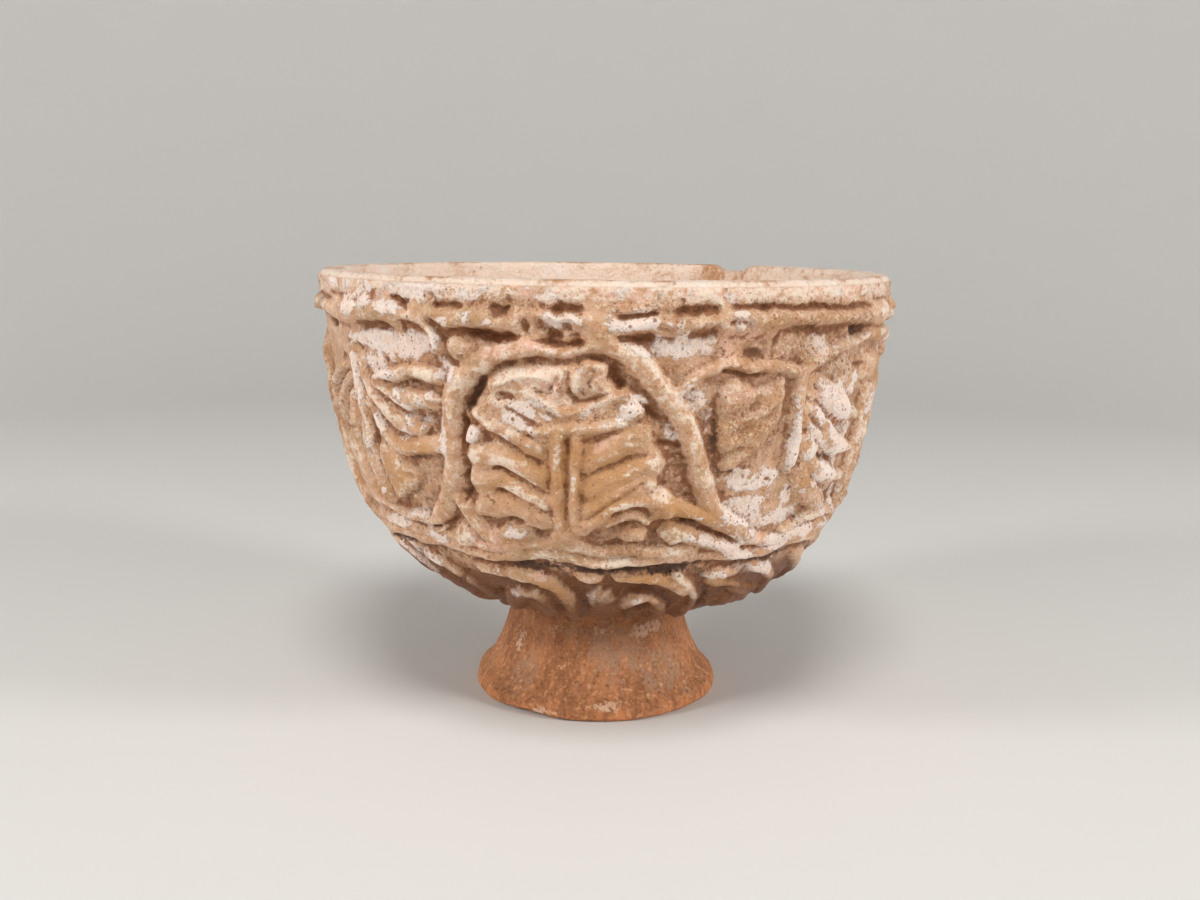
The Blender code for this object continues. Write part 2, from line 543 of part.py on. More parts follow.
def pottery():
    material = bpy.data.materials.new("worn glazed pottery")
    material.use_nodes = True
    shader = material.node_tree.nodes["Principled BSDF"]
    shader.inputs["Base Color"].default_value = (0.55, 0.38, 0.24, 1.0)
    shader.inputs["Roughness"].default_value = 0.55
    shader.inputs["Metallic"].default_value = 0.0
    return material


def make_cup():
    points = grid_points()
    mesh = closed_mesh("cup", points)
    cup = bpy.data.objects.new("cup", mesh)
    bpy.context.scene.collection.objects.link(cup)
    thin = cup.modifiers.new("fewer faces", "DECIMATE")
    thin.ratio = KEPT_SHARE
    fine = bpy.context.evaluated_depsgraph_get()
    reduced = bpy.data.meshes.new_from_object(cup.evaluated_get(fine))
    cup.modifiers.clear()
    cup.data = reduced
    reduced.name = "cup"
    for vertex in reduced.vertices:
        if vertex.co.z < 0.05 * FOOT_EDGE_ROUNDING:
            vertex.co.z = 0.0
    reduced.shade_smooth()
    reduced.materials.append(pottery())
    return cup


def main():
    for old in list(bpy.data.objects):
        bpy.data.objects.remove(old, do_unlink=True)
    make_cup()


main()
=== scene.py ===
"""Looks of the carved pottery cup.

One closed body takes the place of the plain solid: the same bowl, foot and carving, drawn finer,
with the wear of a long buried pot: pits, crusts, chipped slots and softened edges. Its material
lays worn ochre glaze, pale crust, rust stains and bare terracotta by what the carving does there,
with painted shade in the hollows, under overhangs and on the underside, and painted highlights
on raised edges.
Angles run round the cup in degrees from the front, positive towards +X. The carving is drawn on a
flat sheet, as (degrees, millimetres down the wall from the lip), and laid on the bowl.
"""

import math

import bpy
import numpy as np
from mathutils import Matrix, Vector


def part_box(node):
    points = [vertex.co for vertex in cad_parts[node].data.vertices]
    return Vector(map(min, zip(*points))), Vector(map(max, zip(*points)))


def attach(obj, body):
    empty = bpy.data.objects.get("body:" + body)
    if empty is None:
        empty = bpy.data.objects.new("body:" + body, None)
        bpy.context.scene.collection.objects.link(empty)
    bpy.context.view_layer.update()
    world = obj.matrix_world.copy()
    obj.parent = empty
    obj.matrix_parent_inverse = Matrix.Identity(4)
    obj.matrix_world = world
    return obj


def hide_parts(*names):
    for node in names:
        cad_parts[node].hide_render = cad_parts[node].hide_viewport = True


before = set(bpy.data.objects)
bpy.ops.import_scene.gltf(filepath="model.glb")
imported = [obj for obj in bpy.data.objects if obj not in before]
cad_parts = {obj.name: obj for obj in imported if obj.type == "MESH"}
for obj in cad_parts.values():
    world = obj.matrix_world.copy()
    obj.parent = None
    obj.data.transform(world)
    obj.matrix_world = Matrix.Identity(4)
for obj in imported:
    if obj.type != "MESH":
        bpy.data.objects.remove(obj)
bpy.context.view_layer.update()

# A millimetre on the cup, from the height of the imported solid
DRAWN_HEIGHT = 94.4
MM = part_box("cup")[1].z / DRAWN_HEIGHT

# Bowl
CUP_HEIGHT = DRAWN_HEIGHT * MM
RIM_RADIUS = 61.2 * MM
BOWL_DEPTH = 73.5 * MM
BOWL_TAPER = 0.122
BOWL_FULLNESS = 3.76
BOWL_SQUARENESS = 0.333
WALL = 4.6 * MM
LIP_ROUNDING = 1.3 * MM
LIP_LEVEL = CUP_HEIGHT - LIP_ROUNDING
FLOOR_RISE = 2.8 * MM
FLOOR_THICKNESS = 8.6 * MM
FLOOR_DISH = 2.4

# Foot
NECK_RADIUS = 19.4 * MM
FOOT_FLARE = 8.5 * MM
FLARE_CURVE = 1.75
FOOT_LIP_BULGE = 1.0 * MM
FOOT_LIP_HEIGHT = 3.0 * MM
FOOT_LIP_SPREAD = 1.8 * MM
FOOT_EDGE_ROUNDING = 1.1 * MM
FOOT_WALL = 5.4 * MM
HOLLOW_SQUARENESS = 4.0

# Uneven making: the foot sits off the middle and one side of the bowl hangs lower
FOOT_SHIFT = -1.0 * MM
NECK_BLEND = 3.0 * MM
BOTTOM_SAG = 1.9 * MM
SAG_RISE = 7.2 * MM
SAG_SPREAD = 9.0 * MM

# Worn lower edge of the foot
FOOT_LIFT = 0.6 * MM
FOOT_LIFT_ANGLE = -32.0
FOOT_LIFT_SPREAD = 15.0
FOOT_LIFT_HEIGHT = 5.0 * MM

# Chip in the lip at the back
CHIP_ANGLE = 145.0
CHIP_WIDTH = 13.0 * MM
CHIP_DEPTH = 1.5 * MM
CHIP_FADE = 4.0 * CHIP_DEPTH

# Carving: heights over the plain ground
LIP_BAND_HEIGHT = 0.5 * MM
MOULDING_HEIGHT = 1.9 * MM
LOWER_BAND_HEIGHT = 1.2 * MM
ARCH_HEIGHT = 1.7 * MM
LEAF_HEIGHT = 1.6 * MM
SCROLL_HEIGHT = 1.7 * MM
CRUST_THICKNESS = 0.14 * MM

# Carving: distances down the sheet, in its millimetres
SHEET_START = LIP_ROUNDING / MM
SHEET_LENGTH = 91.5
LIP_BAND_BOTTOM = 4.0
MOULDING_MIDDLE = 7.0
MOULDING_HALF = 2.4
FILL_HALF = 3.4
LOWER_BAND_RIDGES = (50.8, 53.4)
LOWER_BAND_HALF = 1.5
LOWER_GROOVE = 55.7
SCROLL_EDGE = 78.0
SCROLL_FADE = 4.0

# Where the hidden sides begin, in degrees from the front
HIDDEN_FROM = 66.0
HIDDEN_FADE = 8.0

# Painted shade of the underside, growing down the sheet
SHADE_START = 52.0
SHADE_RUN = 19.0
SHADE_STRENGTH = 1.5

# Mesh fineness
COLUMNS = 1080
CARVED_ROWS = 300
FOOT_ROWS = 80
INSIDE_ROWS = 120
PROFILE_STEPS = 4001
MOST_TRIANGLES = 196000
SOFTENING_PASSES = 1
BURST_BUBBLES = 1300

# Camera, as the photograph was taken
PHOTO_WIDTH = 1200.0
SENSOR = 36.0
CAMERA_LENS = 36.474
CAMERA_PLACE = (0.0, -270.8, 102.8)
CAMERA_DIP = 10.24
CAMERA_ROLL = 0.69
CAMERA_TURN = 0.004
PICTURE_SHIFT = 2.2

# Floor and lights, in metres and watts
FLOOR_FLAT_RADIUS = 0.5
FLOOR_BEND = 0.4
FLOOR_TOP = 0.8
FLOOR_SIDES = 96
FLOOR_COLOUR = (0.78, 0.77, 0.75, 1.0)
FLOOR_ROUGHNESS = 0.85
LIGHT_AIM = Vector((0.0, 0.0, 0.06))
LIGHT_TINT = (1.0, 0.985, 0.96)
SKY_TINT = (0.9, 0.93, 1.0, 1.0)
SKY_STRENGTH = 0.08

# Kinds of stain that the carving carries. shade is painted shade, and dark and rust also hold painted shadow
# in slots and under overhangs.
STAINS_AND_SHADE = ("pale", "rust", "dark", "cream", "ochre", "pink", "grain", "grey", "shade")

# What the mesh carries to its material, three values to a label. hollow and shade carry painted shade, and
# edge carries pale wear and painted highlight.
CARRIED = {
    "relief": ("lift", "hollow", "edge"),
    "stain": ("pale", "rust", "dark"),
    "tint": ("cream", "ochre", "pink"),
    "coat": ("grain", "grey", "shade"),
    "place": ("foot", "inside", "splash"),
}


# Noise


def smooth_step(value):
    value = np.clip(value, 0.0, 1.0)
    return value * value * (3.0 - 2.0 * value)


def noise(points, size, seed):
    """Smooth random heights from -1 to 1 at points, with bumps of about the given size."""
    cells = 32
    table = np.random.default_rng(seed).uniform(-1.0, 1.0, (cells, cells, cells))
    turn = np.linalg.qr(np.random.default_rng(seed + 1).standard_normal((3, 3)))[0]
    place = (points @ turn / size + 100.0).T.copy()
    cell = np.floor(place).astype(int)
    far_share = smooth_step(place - cell)
    shares = (1.0 - far_share, far_share)
    corners = (cell % cells, (cell + 1) % cells)
    total = np.zeros(len(points))
    for number in range(8):
        x, y, z = number & 1, number >> 1 & 1, number >> 2 & 1
        weight = shares[x][0] * shares[y][1] * shares[z][2]
        total += weight * table[corners[x][0], corners[y][1], corners[z][2]]
    return total


def rough_noise(points, size, seed, layers=3, falloff=0.55):
    """Noise in several sizes, each half the last."""
    total = np.zeros(len(points))
    for layer in range(layers):
        total += falloff**layer * noise(points, size / 2**layer, seed + 10 * layer)
    return total


def round_from(angles, middle):
    """How far angles are from a middle, in degrees from -180 to 180."""
    return (angles - middle + 180.0) % 360.0 - 180.0


# Profile


def bowl_radius(z):
    """Radius of the plain outer wall of the bowl at height z."""
    share = np.clip((CUP_HEIGHT - z) / BOWL_DEPTH, 0.0, 1.0)
    return RIM_RADIUS * (1.0 - BOWL_TAPER * share) * (1.0 - share**BOWL_FULLNESS) ** BOWL_SQUARENESS


def foot_height():
    """Height at which the bowl's curve closes in to the neck of the foot."""
    z = np.linspace(CUP_HEIGHT - BOWL_DEPTH, CUP_HEIGHT - 0.5 * BOWL_DEPTH, PROFILE_STEPS)
    return float(z[np.argmax(bowl_radius(z) >= NECK_RADIUS)])


def floor_height():
    """Height of the middle of the bowl's floor."""
    return foot_height() + FLOOR_RISE


def foot_radius(z):
    """Radius of the foot's outer side at height z."""
    share = np.clip(z / foot_height(), 0.0, 1.0)
    bulge = FOOT_LIP_BULGE * np.exp(-(((z - FOOT_LIP_HEIGHT) / FOOT_LIP_SPREAD) ** 2))
    return NECK_RADIUS + FOOT_FLARE * (1.0 - share) ** FLARE_CURVE + bulge


def resample(points, count):
    """The same path with count points at even distances along it."""
    points = np.asarray(points, float)
    steps = np.hypot(*np.diff(points, axis=0).T)
    along = np.concatenate([[0.0], np.cumsum(steps)])
    wanted = np.linspace(0.0, along[-1], count)
    return np.stack([np.interp(wanted, along, points[:, axis]) for axis in (0, 1)], axis=1)


def quarter(centre, radius, start, steps=7):
    """Points of a quarter circle from the angle start, turning clockwise, in (r, z)."""
    angles = np.radians(np.linspace(start, start - 90.0, steps))
    return [(centre[0] + radius * math.cos(angle), centre[1] + radius * math.sin(angle)) for angle in angles]


def directions(path):
    """Unit directions along a path in (r, z)."""
    slope = np.gradient(path, axis=0)
    return slope / np.hypot(slope[:, 0], slope[:, 1])[:, None]


def bowl_wall():
    """Outer wall of the bowl from the lip down to the neck, as (r, z)."""
    share = np.sin(np.linspace(0.0, 0.5 * math.pi, PROFILE_STEPS))
    z = LIP_LEVEL - (LIP_LEVEL - foot_height()) * share
    return np.stack([bowl_radius(z), z], axis=1)


def inner_wall():
    """Inside of the bowl from the middle of its floor up to the lip, as (r, z)."""
    floor = floor_height()
    outer = bowl_wall()[::-1]
    along = directions(outer)
    inside = outer + WALL * np.stack([-along[:, 1], along[:, 0]], axis=1)
    inside = inside[(inside[:, 0] > NECK_RADIUS) & (inside[:, 1] > floor)]
    start = inside[0]
    shares = np.linspace(0.0, 1.0, 20)[:-1]
    dish = [(start[0] * share, floor + (start[1] - floor) * share**FLOOR_DISH) for share in shares]
    path = np.concatenate([dish, inside])
    return path[path[:, 1] < LIP_LEVEL]


def section():
    """Rows of the half section as (r, z), and each row's zone, from the bowl's floor to the foot's hollow."""
    lip_outer = float(bowl_radius(LIP_LEVEL))
    lip = quarter((lip_outer - WALL + LIP_ROUNDING, LIP_LEVEL), LIP_ROUNDING, 180.0)
    lip += quarter((lip_outer - LIP_ROUNDING, LIP_LEVEL), LIP_ROUNDING, 90.0)[:-1]
    foot_z = np.linspace(foot_height(), FOOT_EDGE_ROUNDING, 400)[1:]
    edge_radius = float(foot_radius(np.array(FOOT_EDGE_ROUNDING)))
    edge_middle = (edge_radius - FOOT_EDGE_ROUNDING, FOOT_EDGE_ROUNDING)
    share = np.sin(np.linspace(0.0, 0.5 * math.pi, FOOT_ROWS))
    closing = np.sqrt(1.0 - share**HOLLOW_SQUARENESS)
    hollow_z = (floor_height() - FLOOR_THICKNESS) * share
    zones = {
        "inside": resample(inner_wall(), INSIDE_ROWS),
        "lip": np.array(lip),
        "wall": resample(bowl_wall(), CARVED_ROWS),
        "foot": resample(np.stack([foot_radius(foot_z), foot_z], axis=1), FOOT_ROWS),
        "edge": np.array(quarter(edge_middle, FOOT_EDGE_ROUNDING, 0.0)[1:]),
        "hollow": np.stack([(foot_radius(hollow_z) - FOOT_WALL) * closing, hollow_z], axis=1),
    }
    names = np.concatenate([[name] * len(rows) for name, rows in zones.items()])
    return np.concatenate(list(zones.values())), names


# Carving


def curve_through(points, steps=8):
    """A smooth path through a few points given as (degrees, millimetres down)."""
    path = np.asarray(points, float)
    path = np.concatenate([[2.0 * path[0] - path[1]], path, [2.0 * path[-1] - path[-2]]])
    share = np.linspace(0.0, 1.0, steps, endpoint=False)[:, None]
    pieces = []
    for before, start, end, after in zip(path[:-3], path[1:-2], path[2:-1], path[3:]):
        cubic = 2.0 * start + (end - before) * share
        cubic = cubic + (2.0 * before - 5.0 * start + 4.0 * end - after) * share**2
        cubic = cubic + (3.0 * start - before - 3.0 * end + after) * share**3
        pieces.append(0.5 * cubic)
    return np.concatenate([*pieces, path[-2:-1]])


class Carving:
    """Heights, stains and painted shade of the carved surface, on a grid of rows down by columns round.

    A motif is drawn where it stands at the front of the cup, and turn carries it round to its place.
    Widths are millimetres. The grid is bent a little by warp, so that no line comes out ruled, and
    ragged breaks up the edges. Ovals are (angle, down, length, width, tilt), and may leave out the tilt.
    """

    def __init__(self, angles, downs, radii, stretch, warp, ragged):
        self.angles = angles
        self.downs = downs
        self.stretch = stretch
        self.warp = warp
        self.ragged = ragged
        self.per_degree = radii * math.radians(1.0)
        self.turn = 0.0
        self.height = np.zeros((len(downs), len(angles)))
        self.stains = {name: np.zeros_like(self.height) for name in STAINS_AND_SHADE}

    def window(self, path, reach):
        """The cells within reach of a path, with the millimetres in a degree, and each cell's place."""
        room = 1.3 * reach / self.stretch
        lowest, highest = path[:, 1].min() - room, path[:, 1].max() + room
        rows = np.where((self.downs > lowest) & (self.downs < highest))[0]
        if not len(rows):
            return None
        room = 1.3 * reach / self.per_degree[rows].min()
        step = self.angles[1] - self.angles[0]
        first = math.floor((path[:, 0].min() - room - self.angles[0]) / step)
        last = math.ceil((path[:, 0].max() + room - self.angles[0]) / step)
        columns = np.arange(first, min(last + 1, first + len(self.angles)))
        cells = np.ix_(rows, columns % len(self.angles))
        per_degree = self.per_degree[rows][:, None]
        angles = self.angles[0] + columns * step + self.warp[0][cells] / per_degree
        downs = self.downs[rows][:, None] + self.warp[1][cells] / self.stretch
        return cells, per_degree, angles, downs

    def distances(self, path, reach):
        """For the cells near a path: where they are, how far from it, and how far along it."""
        found = self.window(path, reach)
        if not found:
            return None
        cells, per_degree, angles, downs = found
        nearest = np.full(angles.shape, np.inf)
        along = np.zeros_like(nearest)
        pieces = len(path) - 1
        for number, (start, end) in enumerate(zip(path[:-1], path[1:])):
            run = (end - start)[0] * per_degree
            drop = (end - start)[1] * self.stretch
            from_x = (angles - start[0]) * per_degree
            from_y = (downs - start[1]) * self.stretch
            length = np.maximum(run**2 + drop**2, 1e-12)
            share = np.clip((from_x * run + from_y * drop) / length, 0.0, 1.0)
            gap = np.hypot(from_x - share * run, from_y - share * drop)
            closer = gap < nearest
            nearest = np.where(closer, gap, nearest)
            along = np.where(closer, (number + share) / pieces, along)
        return cells, nearest, along

    def curve(self, points):
        return curve_through(points) + np.array([self.turn, 0.0])

    def near_paths(self, paths, reach):
        """What distances gives for each path that has cells near it."""
        for points in paths:
            found = self.distances(self.curve(points), reach)
            if found:
                yield found

    def oval(self, angle, down, length, width, tilt=0.0):
        """The cells near an oval, and how far out each lies, 1 at its edge."""
        halves = (0.5 * length * MM, 0.5 * width * MM)
        middle = angle + self.turn
        found = self.window(np.array([[middle, down]]), max(halves))
        if not found:
            return None
        cells, per_degree, angles, downs = found
        x = (angles - middle) * per_degree
        y = (down - downs) * self.stretch
        cosine = math.cos(math.radians(tilt))
        sine = math.sin(math.radians(tilt))
        away = np.hypot((x * cosine + y * sine) / halves[0], (y * cosine - x * sine) / halves[1])
        return cells, away * (1.0 + 0.15 * self.ragged[cells])

    def near_ovals(self, ovals):
        """What oval gives for each oval that has cells near it."""
        for oval in ovals:
            found = self.oval(*oval)
            if found:
                yield found

    def raise_to(self, cells, rise):
        self.height[cells] = np.maximum(self.height[cells], rise)

    def mark(self, name, cells, amount):
        stain = self.stains[name]
        stain[cells] = np.maximum(stain[cells], amount)

    def ridges(self, width, height, *paths, roundness=0.6):
        """Raised ribs along paths."""
        for cells, gap, _ in self.near_paths(paths, width * MM):
            share = 2.0 * gap / (width * MM) * (1.0 + 0.12 * self.ragged[cells])
            self.raise_to(cells, height * np.clip(1.0 - share**2, 0.0, 1.0) ** roundness)

    def leaves(self, width, height, *paths):
        """Raised leaves along paths: narrow at the root, widest past the middle, round at the tip."""
        for cells, gap, along in self.near_paths(paths, width * MM):
            swelling = 0.4 + 0.6 * smooth_step(1.6 * along)
            half = 0.5 * width * MM * swelling * (1.0 + 0.1 * self.ragged[cells])
            self.raise_to(cells, height * np.clip(1.0 - (gap / half) ** 2, 0.0, 1.0) ** 0.5)

    def plates(self, height, *outlines, edge=1.3):
        """Raised flat shapes with the given outlines and rounded edges."""
        for points in outlines:
            path = self.curve((*points, points[0]))
            found = self.distances(path, 0.5 * MM)
            if found:
                cells, gap, _ = found
                _, _, angles, downs = self.window(path, 0.5 * MM)
                inside = np.zeros(gap.shape, bool)
                for start, end in zip(path[:-1], path[1:]):
                    crosses = (downs < start[1]) != (downs < end[1])
                    drop = end[1] - start[1]
                    share = (downs - start[1]) / (drop if abs(drop) > 1e-9 else 1e-9)
                    inside ^= crosses & (angles < start[0] + share * (end - start)[0])
                share = np.clip(gap / (edge * MM), 0.0, 1.0) * inside
                self.raise_to(cells, height * (1.0 - (1.0 - share) ** 2) ** 0.7)

    def slots(self, width, depth, *paths, stain="rust", amount=1.0):
        """Cut lines along paths with steep sides, shallower at their ends, and a stain in them that is partly
        dirt, partly painted shade.
        """
        for cells, gap, along in self.near_paths(paths, 1.1 * width * MM):
            end = smooth_step(np.minimum(along, 1.0 - along) * 5.0 + 0.35)
            half = 0.5 * width * MM * (0.55 + 0.45 * end) * (1.0 + 0.35 * self.ragged[cells])
            sunk = smooth_step((half - gap) / (0.55 * half) + 0.25)
            valley = np.clip(1.0 - 0.5 * gap / half, 0.0, 1.0) ** 1.5
            self.height[cells] -= depth * MM * end * (0.6 * sunk + 0.4 * valley)
            speckle = np.clip(0.85 + 0.5 * self.ragged[cells], 0.0, 1.0)
            self.mark(stain, cells, amount * end * speckle * np.clip(1.35 - 1.1 * gap / half, 0.0, 1.0))

    def mounds(self, height, *ovals):
        """Raised ovals."""
        for cells, share in self.near_ovals(ovals):
            self.raise_to(cells, height * np.clip(1.0 - share**2, 0.0, 1.0) ** 0.55)

    def pits(self, depth, *ovals, stain="rust", amount=1.0):
        """Sunk ovals with a stain in them."""
        for cells, share in self.near_ovals(ovals):
            sunk = smooth_step(1.6 * (1.0 - share))
            self.height[cells] -= depth * MM * sunk
            self.mark(stain, cells, amount * sunk)

    def strokes(self, name, width, strength, *paths):
        """Stains along paths."""
        for cells, gap, _ in self.near_paths(paths, width * MM):
            self.mark(name, cells, strength * np.clip(1.5 - 2.0 * gap / (width * MM), 0.0, 1.0))

    def patches(self, name, *patches):
        """Stained ovals that fade at the edge, each as in patch."""
        for patch in patches:
            self.patch(name, *patch)

    def patch(self, name, angle, down, length, width, strength=1.0, tilt=0.0):
        """One stained oval."""
        reach = 1.45
        for cells, share in self.near_ovals([(angle, down, reach * length, reach * width, tilt)]):
            self.mark(name, cells, strength * np.clip(1.5 * (1.0 - share), 0.0, 1.0))


def carve_bands(clay):
    """The plain lip band, the roll below it and the double band under the panels."""
    downs = clay.downs[:, None] + clay.warp[1] / clay.stretch
    angles = np.radians(clay.angles)[None, :]
    lip = LIP_BAND_HEIGHT * smooth_step((LIP_BAND_BOTTOM + 0.8 - downs) / 0.8)
    wander = 0.25 * np.sin(5.0 * angles + 1.0) + 0.15 * np.sin(11.0 * angles)
    roll_half = MOULDING_HALF * (1.0 + 0.08 * np.sin(7.0 * angles))
    off = (downs - MOULDING_MIDDLE - wander) / roll_half
    roll = MOULDING_HEIGHT * np.clip(1.0 - off**2, 0.0, 1.0) ** 0.7
    fill = np.clip(1.0 - ((downs - MOULDING_MIDDLE + 0.4) / FILL_HALF) ** 4, 0.0, 1.0)
    fill = (0.55 + 0.15 * np.sin(9.0 * angles + 0.5)) * MOULDING_HEIGHT * fill
    clay.height = np.maximum(clay.height, np.maximum(np.maximum(lip, fill), roll))
    for number, middle in enumerate(LOWER_BAND_RIDGES):
        wave = 0.5 * np.sin((9.0 + 2.0 * number) * angles + number) + 0.3 * np.sin(17.0 * angles + 2.0)
        off = (downs - middle - wave) / LOWER_BAND_HALF
        ridge = LOWER_BAND_HEIGHT * (1.0 + 0.25 * np.sin(13.0 * angles + number))
        clay.height = np.maximum(clay.height, ridge * np.clip(1.0 - off**2, 0.0, 1.0) ** 0.7)


def carve_roll(clay):
    """Bosses on the roll and the short slots that the tool left above and below it."""
    clay.ridges(2.4, MOULDING_HEIGHT, ((-33.4, 6), (-31.8, 8.2), (-30.4, 10.6), (-29.6, 13)))
    clay.mounds(MOULDING_HEIGHT + 0.3 * MM, (-47.4, 5.7, 5.2, 3.6), (-42.5, 7.4, 6, 2.8, -10),
        (-26.5, 7.6, 3.6, 2.8), (-23, 7.4, 3.6, 3), (-0.8, 8.8, 2.4, 3.4), (36, 7.3, 4.4, 2.4),
        (45, 7.4, 5, 2.6, 4), (51.6, 7, 4, 2.4), (57.6, 7.3, 4, 2.8))
    clay.mounds(LEAF_HEIGHT, (-25, 12.6, 6.6, 4.4, -8))
    clay.slots(1.2, 1.1, ((-39.8, 4.1), (-37, 4.4), (-34.8, 4.3)),
        ((-37.4, 4.6), (-36.2, 5.3), (-35.6, 6.1)),
        ((20.5, 4.7), (26, 4.9), (32.5, 4.8), (40, 5), (47, 4.8), (53, 5), (60, 5.2)),
        ((-28, 9.2), (-24, 9.4), (-21, 9.8)), ((8.2, 8.2), (11, 8.6)), ((20.8, 7.6), (23, 7.4), (25, 7.9)))
    clay.slots(1.3, 1.3, ((-29.7, 5.1), (-27, 4.7), (-23.6, 4.8)), ((1.2, 5.9), (4.5, 5.8), (8.6, 5.4)),
        ((-23.4, 9.8), (-19, 10.6), (-14, 10.4)), ((-11.6, 10.2), (-7, 11), (-2.4, 10.6)), amount=0.9)
    clay.slots(2.2, 1.1, ((-18.8, 5.5), (-15.2, 5.9)), ((-52, 8.9), (-46, 9.3), (-40.3, 9.9)),
        ((-38.5, 8.8), (-36.5, 8.7), (-33.3, 9.3)), ((-21, 9.6), (-18, 10.1), (-15, 10)),
        ((2, 9.2), (5, 9.8), (8, 9.9)), ((13.8, 8.8), (16.5, 8.9), (19.4, 8.6)),
        ((31.8, 8.4), (36, 8.8), (42, 9), (48, 8.7), (55, 9)))
    clay.slots(2.3, 1.4, ((-8.5, 5.2), (-6, 5), (-3.2, 5.2)),
        ((11, 5.5), (14, 5.2), (17, 5.4), (19.5, 5.6)), ((-31.2, 7.4), (-30.2, 8.6), (-29.2, 9.3)),
        ((-13.5, 6.6), (-12, 8.4)), ((-11, 7.2), (-8, 8), (-4.6, 7.8)),
        ((-9.5, 9.9), (-6.5, 10.3), (-3, 10)), amount=0.9)
    # Painted shadow under the bosses at the right end of the roll.
    clay.slots(2.2, 1.3, ((51.5, 9.9), (54.5, 10.3), (58.5, 9.9)), stain="dark")
    clay.slots(0.6, 0.4, ((-28.6, 14.6), (-25, 15.6), (-21.6, 14.8), (-20.4, 12.6)),
        ((31.2, 7.4), (31.3, 10), (31, 13.2)), ((-63.5, 3.9), (-58, 4), (-52.7, 4.2)))
    clay.pits(0.5, (-57.8, 8.4, 0.9, 0.8), (-56.7, 8.5, 0.8, 0.7), (-61.3, 4.8, 1, 0.7),
        (-37.6, 9.7, 0.7, 0.7), (-36.8, 9.7, 0.6, 0.6), (2.9, 10.1, 0.9, 0.7), stain="dark")
    clay.pits(0.7, (26.6, 12.9, 6.6, 3.4, -4), stain="grey")
    clay.pits(0.4, (27, 13, 5, 2.2, -4), stain="dark", amount=0.8)
    clay.pits(0.7, (28, 5, 3, 1.8), (41.4, 5.2, 3.6, 2, 4), (49.6, 5.4, 3, 2.2), (55.4, 8.9, 3.4, 1.8),
        (39, 9, 4, 1.8))
    clay.slots(0.6, 0.4, ((23.4, 12.6), (25, 11.4), (28.6, 11.3), (29.8, 12.6)),
        ((23.6, 13.2), (25.4, 14.6), (28.8, 14.4)), stain="dark")
    for number in range(7):
        clay.pits(0.35, (-26.4 + 0.66 * number, 11.8 + 0.26 * number, 0.55, 0.5), stain="dark")
    for number in range(4):
        clay.pits(0.3, (12.9 + 0.45 * number, 14.6 - 0.2 * number, 0.5, 0.45), stain="dark")


def carve_arch(clay):
    """The tall arch round the palmette, with its feet and the shadowed cuts along its inner side."""
    left_side = ((-37.5, 48.5), (-34, 44.5), (-31, 40.5), (-29.3, 36), (-28.4, 30), (-28, 24))
    left_bend = ((-26.6, 19.5), (-23.5, 16), (-19, 13.6), (-13, 11.9), (-6, 10.9), (-1, 10.4))
    right_bend = ((-1, 9.8), (2.5, 11.4), (6, 14.4), (9.3, 17.8), (12, 21.3))
    right_side = ((14.5, 25.5), (16.6, 30.5), (18.2, 35.5), (20, 40), (23.2, 43.8), (27.5, 46.8),
        (32.5, 49.6))
    clay.ridges(4.4, ARCH_HEIGHT, (*left_side, *left_bend), (*right_bend, *right_side))
    clay.ridges(3.4, ARCH_HEIGHT, ((-28.5, 41.5), (-25.5, 46), (-21.5, 50), (-18, 52.5)),
        ((14, 41.5), (18, 42.6), (22, 44.6)), ((14, 46), (18, 47.6), (23, 49.6), (29, 52)))
    clay.ridges(2.2, LEAF_HEIGHT, ((12.6, 20), (15, 17.8), (18.5, 15.6), (22, 14.4), (26, 15.6), (31, 15.2),
        (36, 16.6)))
    clay.mounds(LEAF_HEIGHT, (-29.5, 50, 8, 5.4, 20))
    # Painted shadow in the cuts along the inner sides of the arch's limbs.
    clay.slots(1.8, 1.2, ((-20.8, 17.2), (-22.3, 19.2), (-23.6, 21.4), (-24.6, 23.4)), stain="dark")
    clay.slots(1.3, 0.9, ((-25.3, 25.2), (-25.6, 28), (-25.5, 31)),
        ((-25.7, 34.2), (-25.9, 37), (-26.6, 40), (-27.4, 42.6)), ((5.4, 20.6), (7.6, 22.8), (9.6, 24.6)))
    clay.slots(0.9, 0.8, ((-19.6, 15.8), (-17, 14.9), (-13.5, 14), (-9.5, 13.4)),
        ((-2.6, 13.4), (-0.8, 13.7), (0.8, 14)), ((9.5, 28.6), (12, 29), (13.6, 29.8)),
        ((-38.4, 49), (-36, 48.3), (-33, 47), (-30.4, 45.8)), ((20, 46.3), (24, 47.8), (29, 50)),
        ((20, 15.3), (23, 15.9), (26, 16.8), (30, 16.3)))
    clay.slots(2.0, 0.9, ((1.2, 15), (2.6, 16.8), (3.6, 18.6)))
    clay.slots(0.35, 0.2, ((12.8, 19.8), (16, 17.4), (19, 15.6), (21, 14.9)))
    clay.pits(1.1, (17.2, 44.5, 4.6, 1.6, -16), (-37, 48.6, 3.6, 1.8, 10), stain="dark")
    clay.pits(0.5, (8, 37.3, 1.8, 0.8), (11.5, 36.6, 1.6, 0.8), (15.7, 39.2, 1.6, 0.8, -10),
        (12.6, 38.4, 1.2, 0.7), (2.1, 19.2, 0.7, 0.6), stain="dark", amount=0.8)


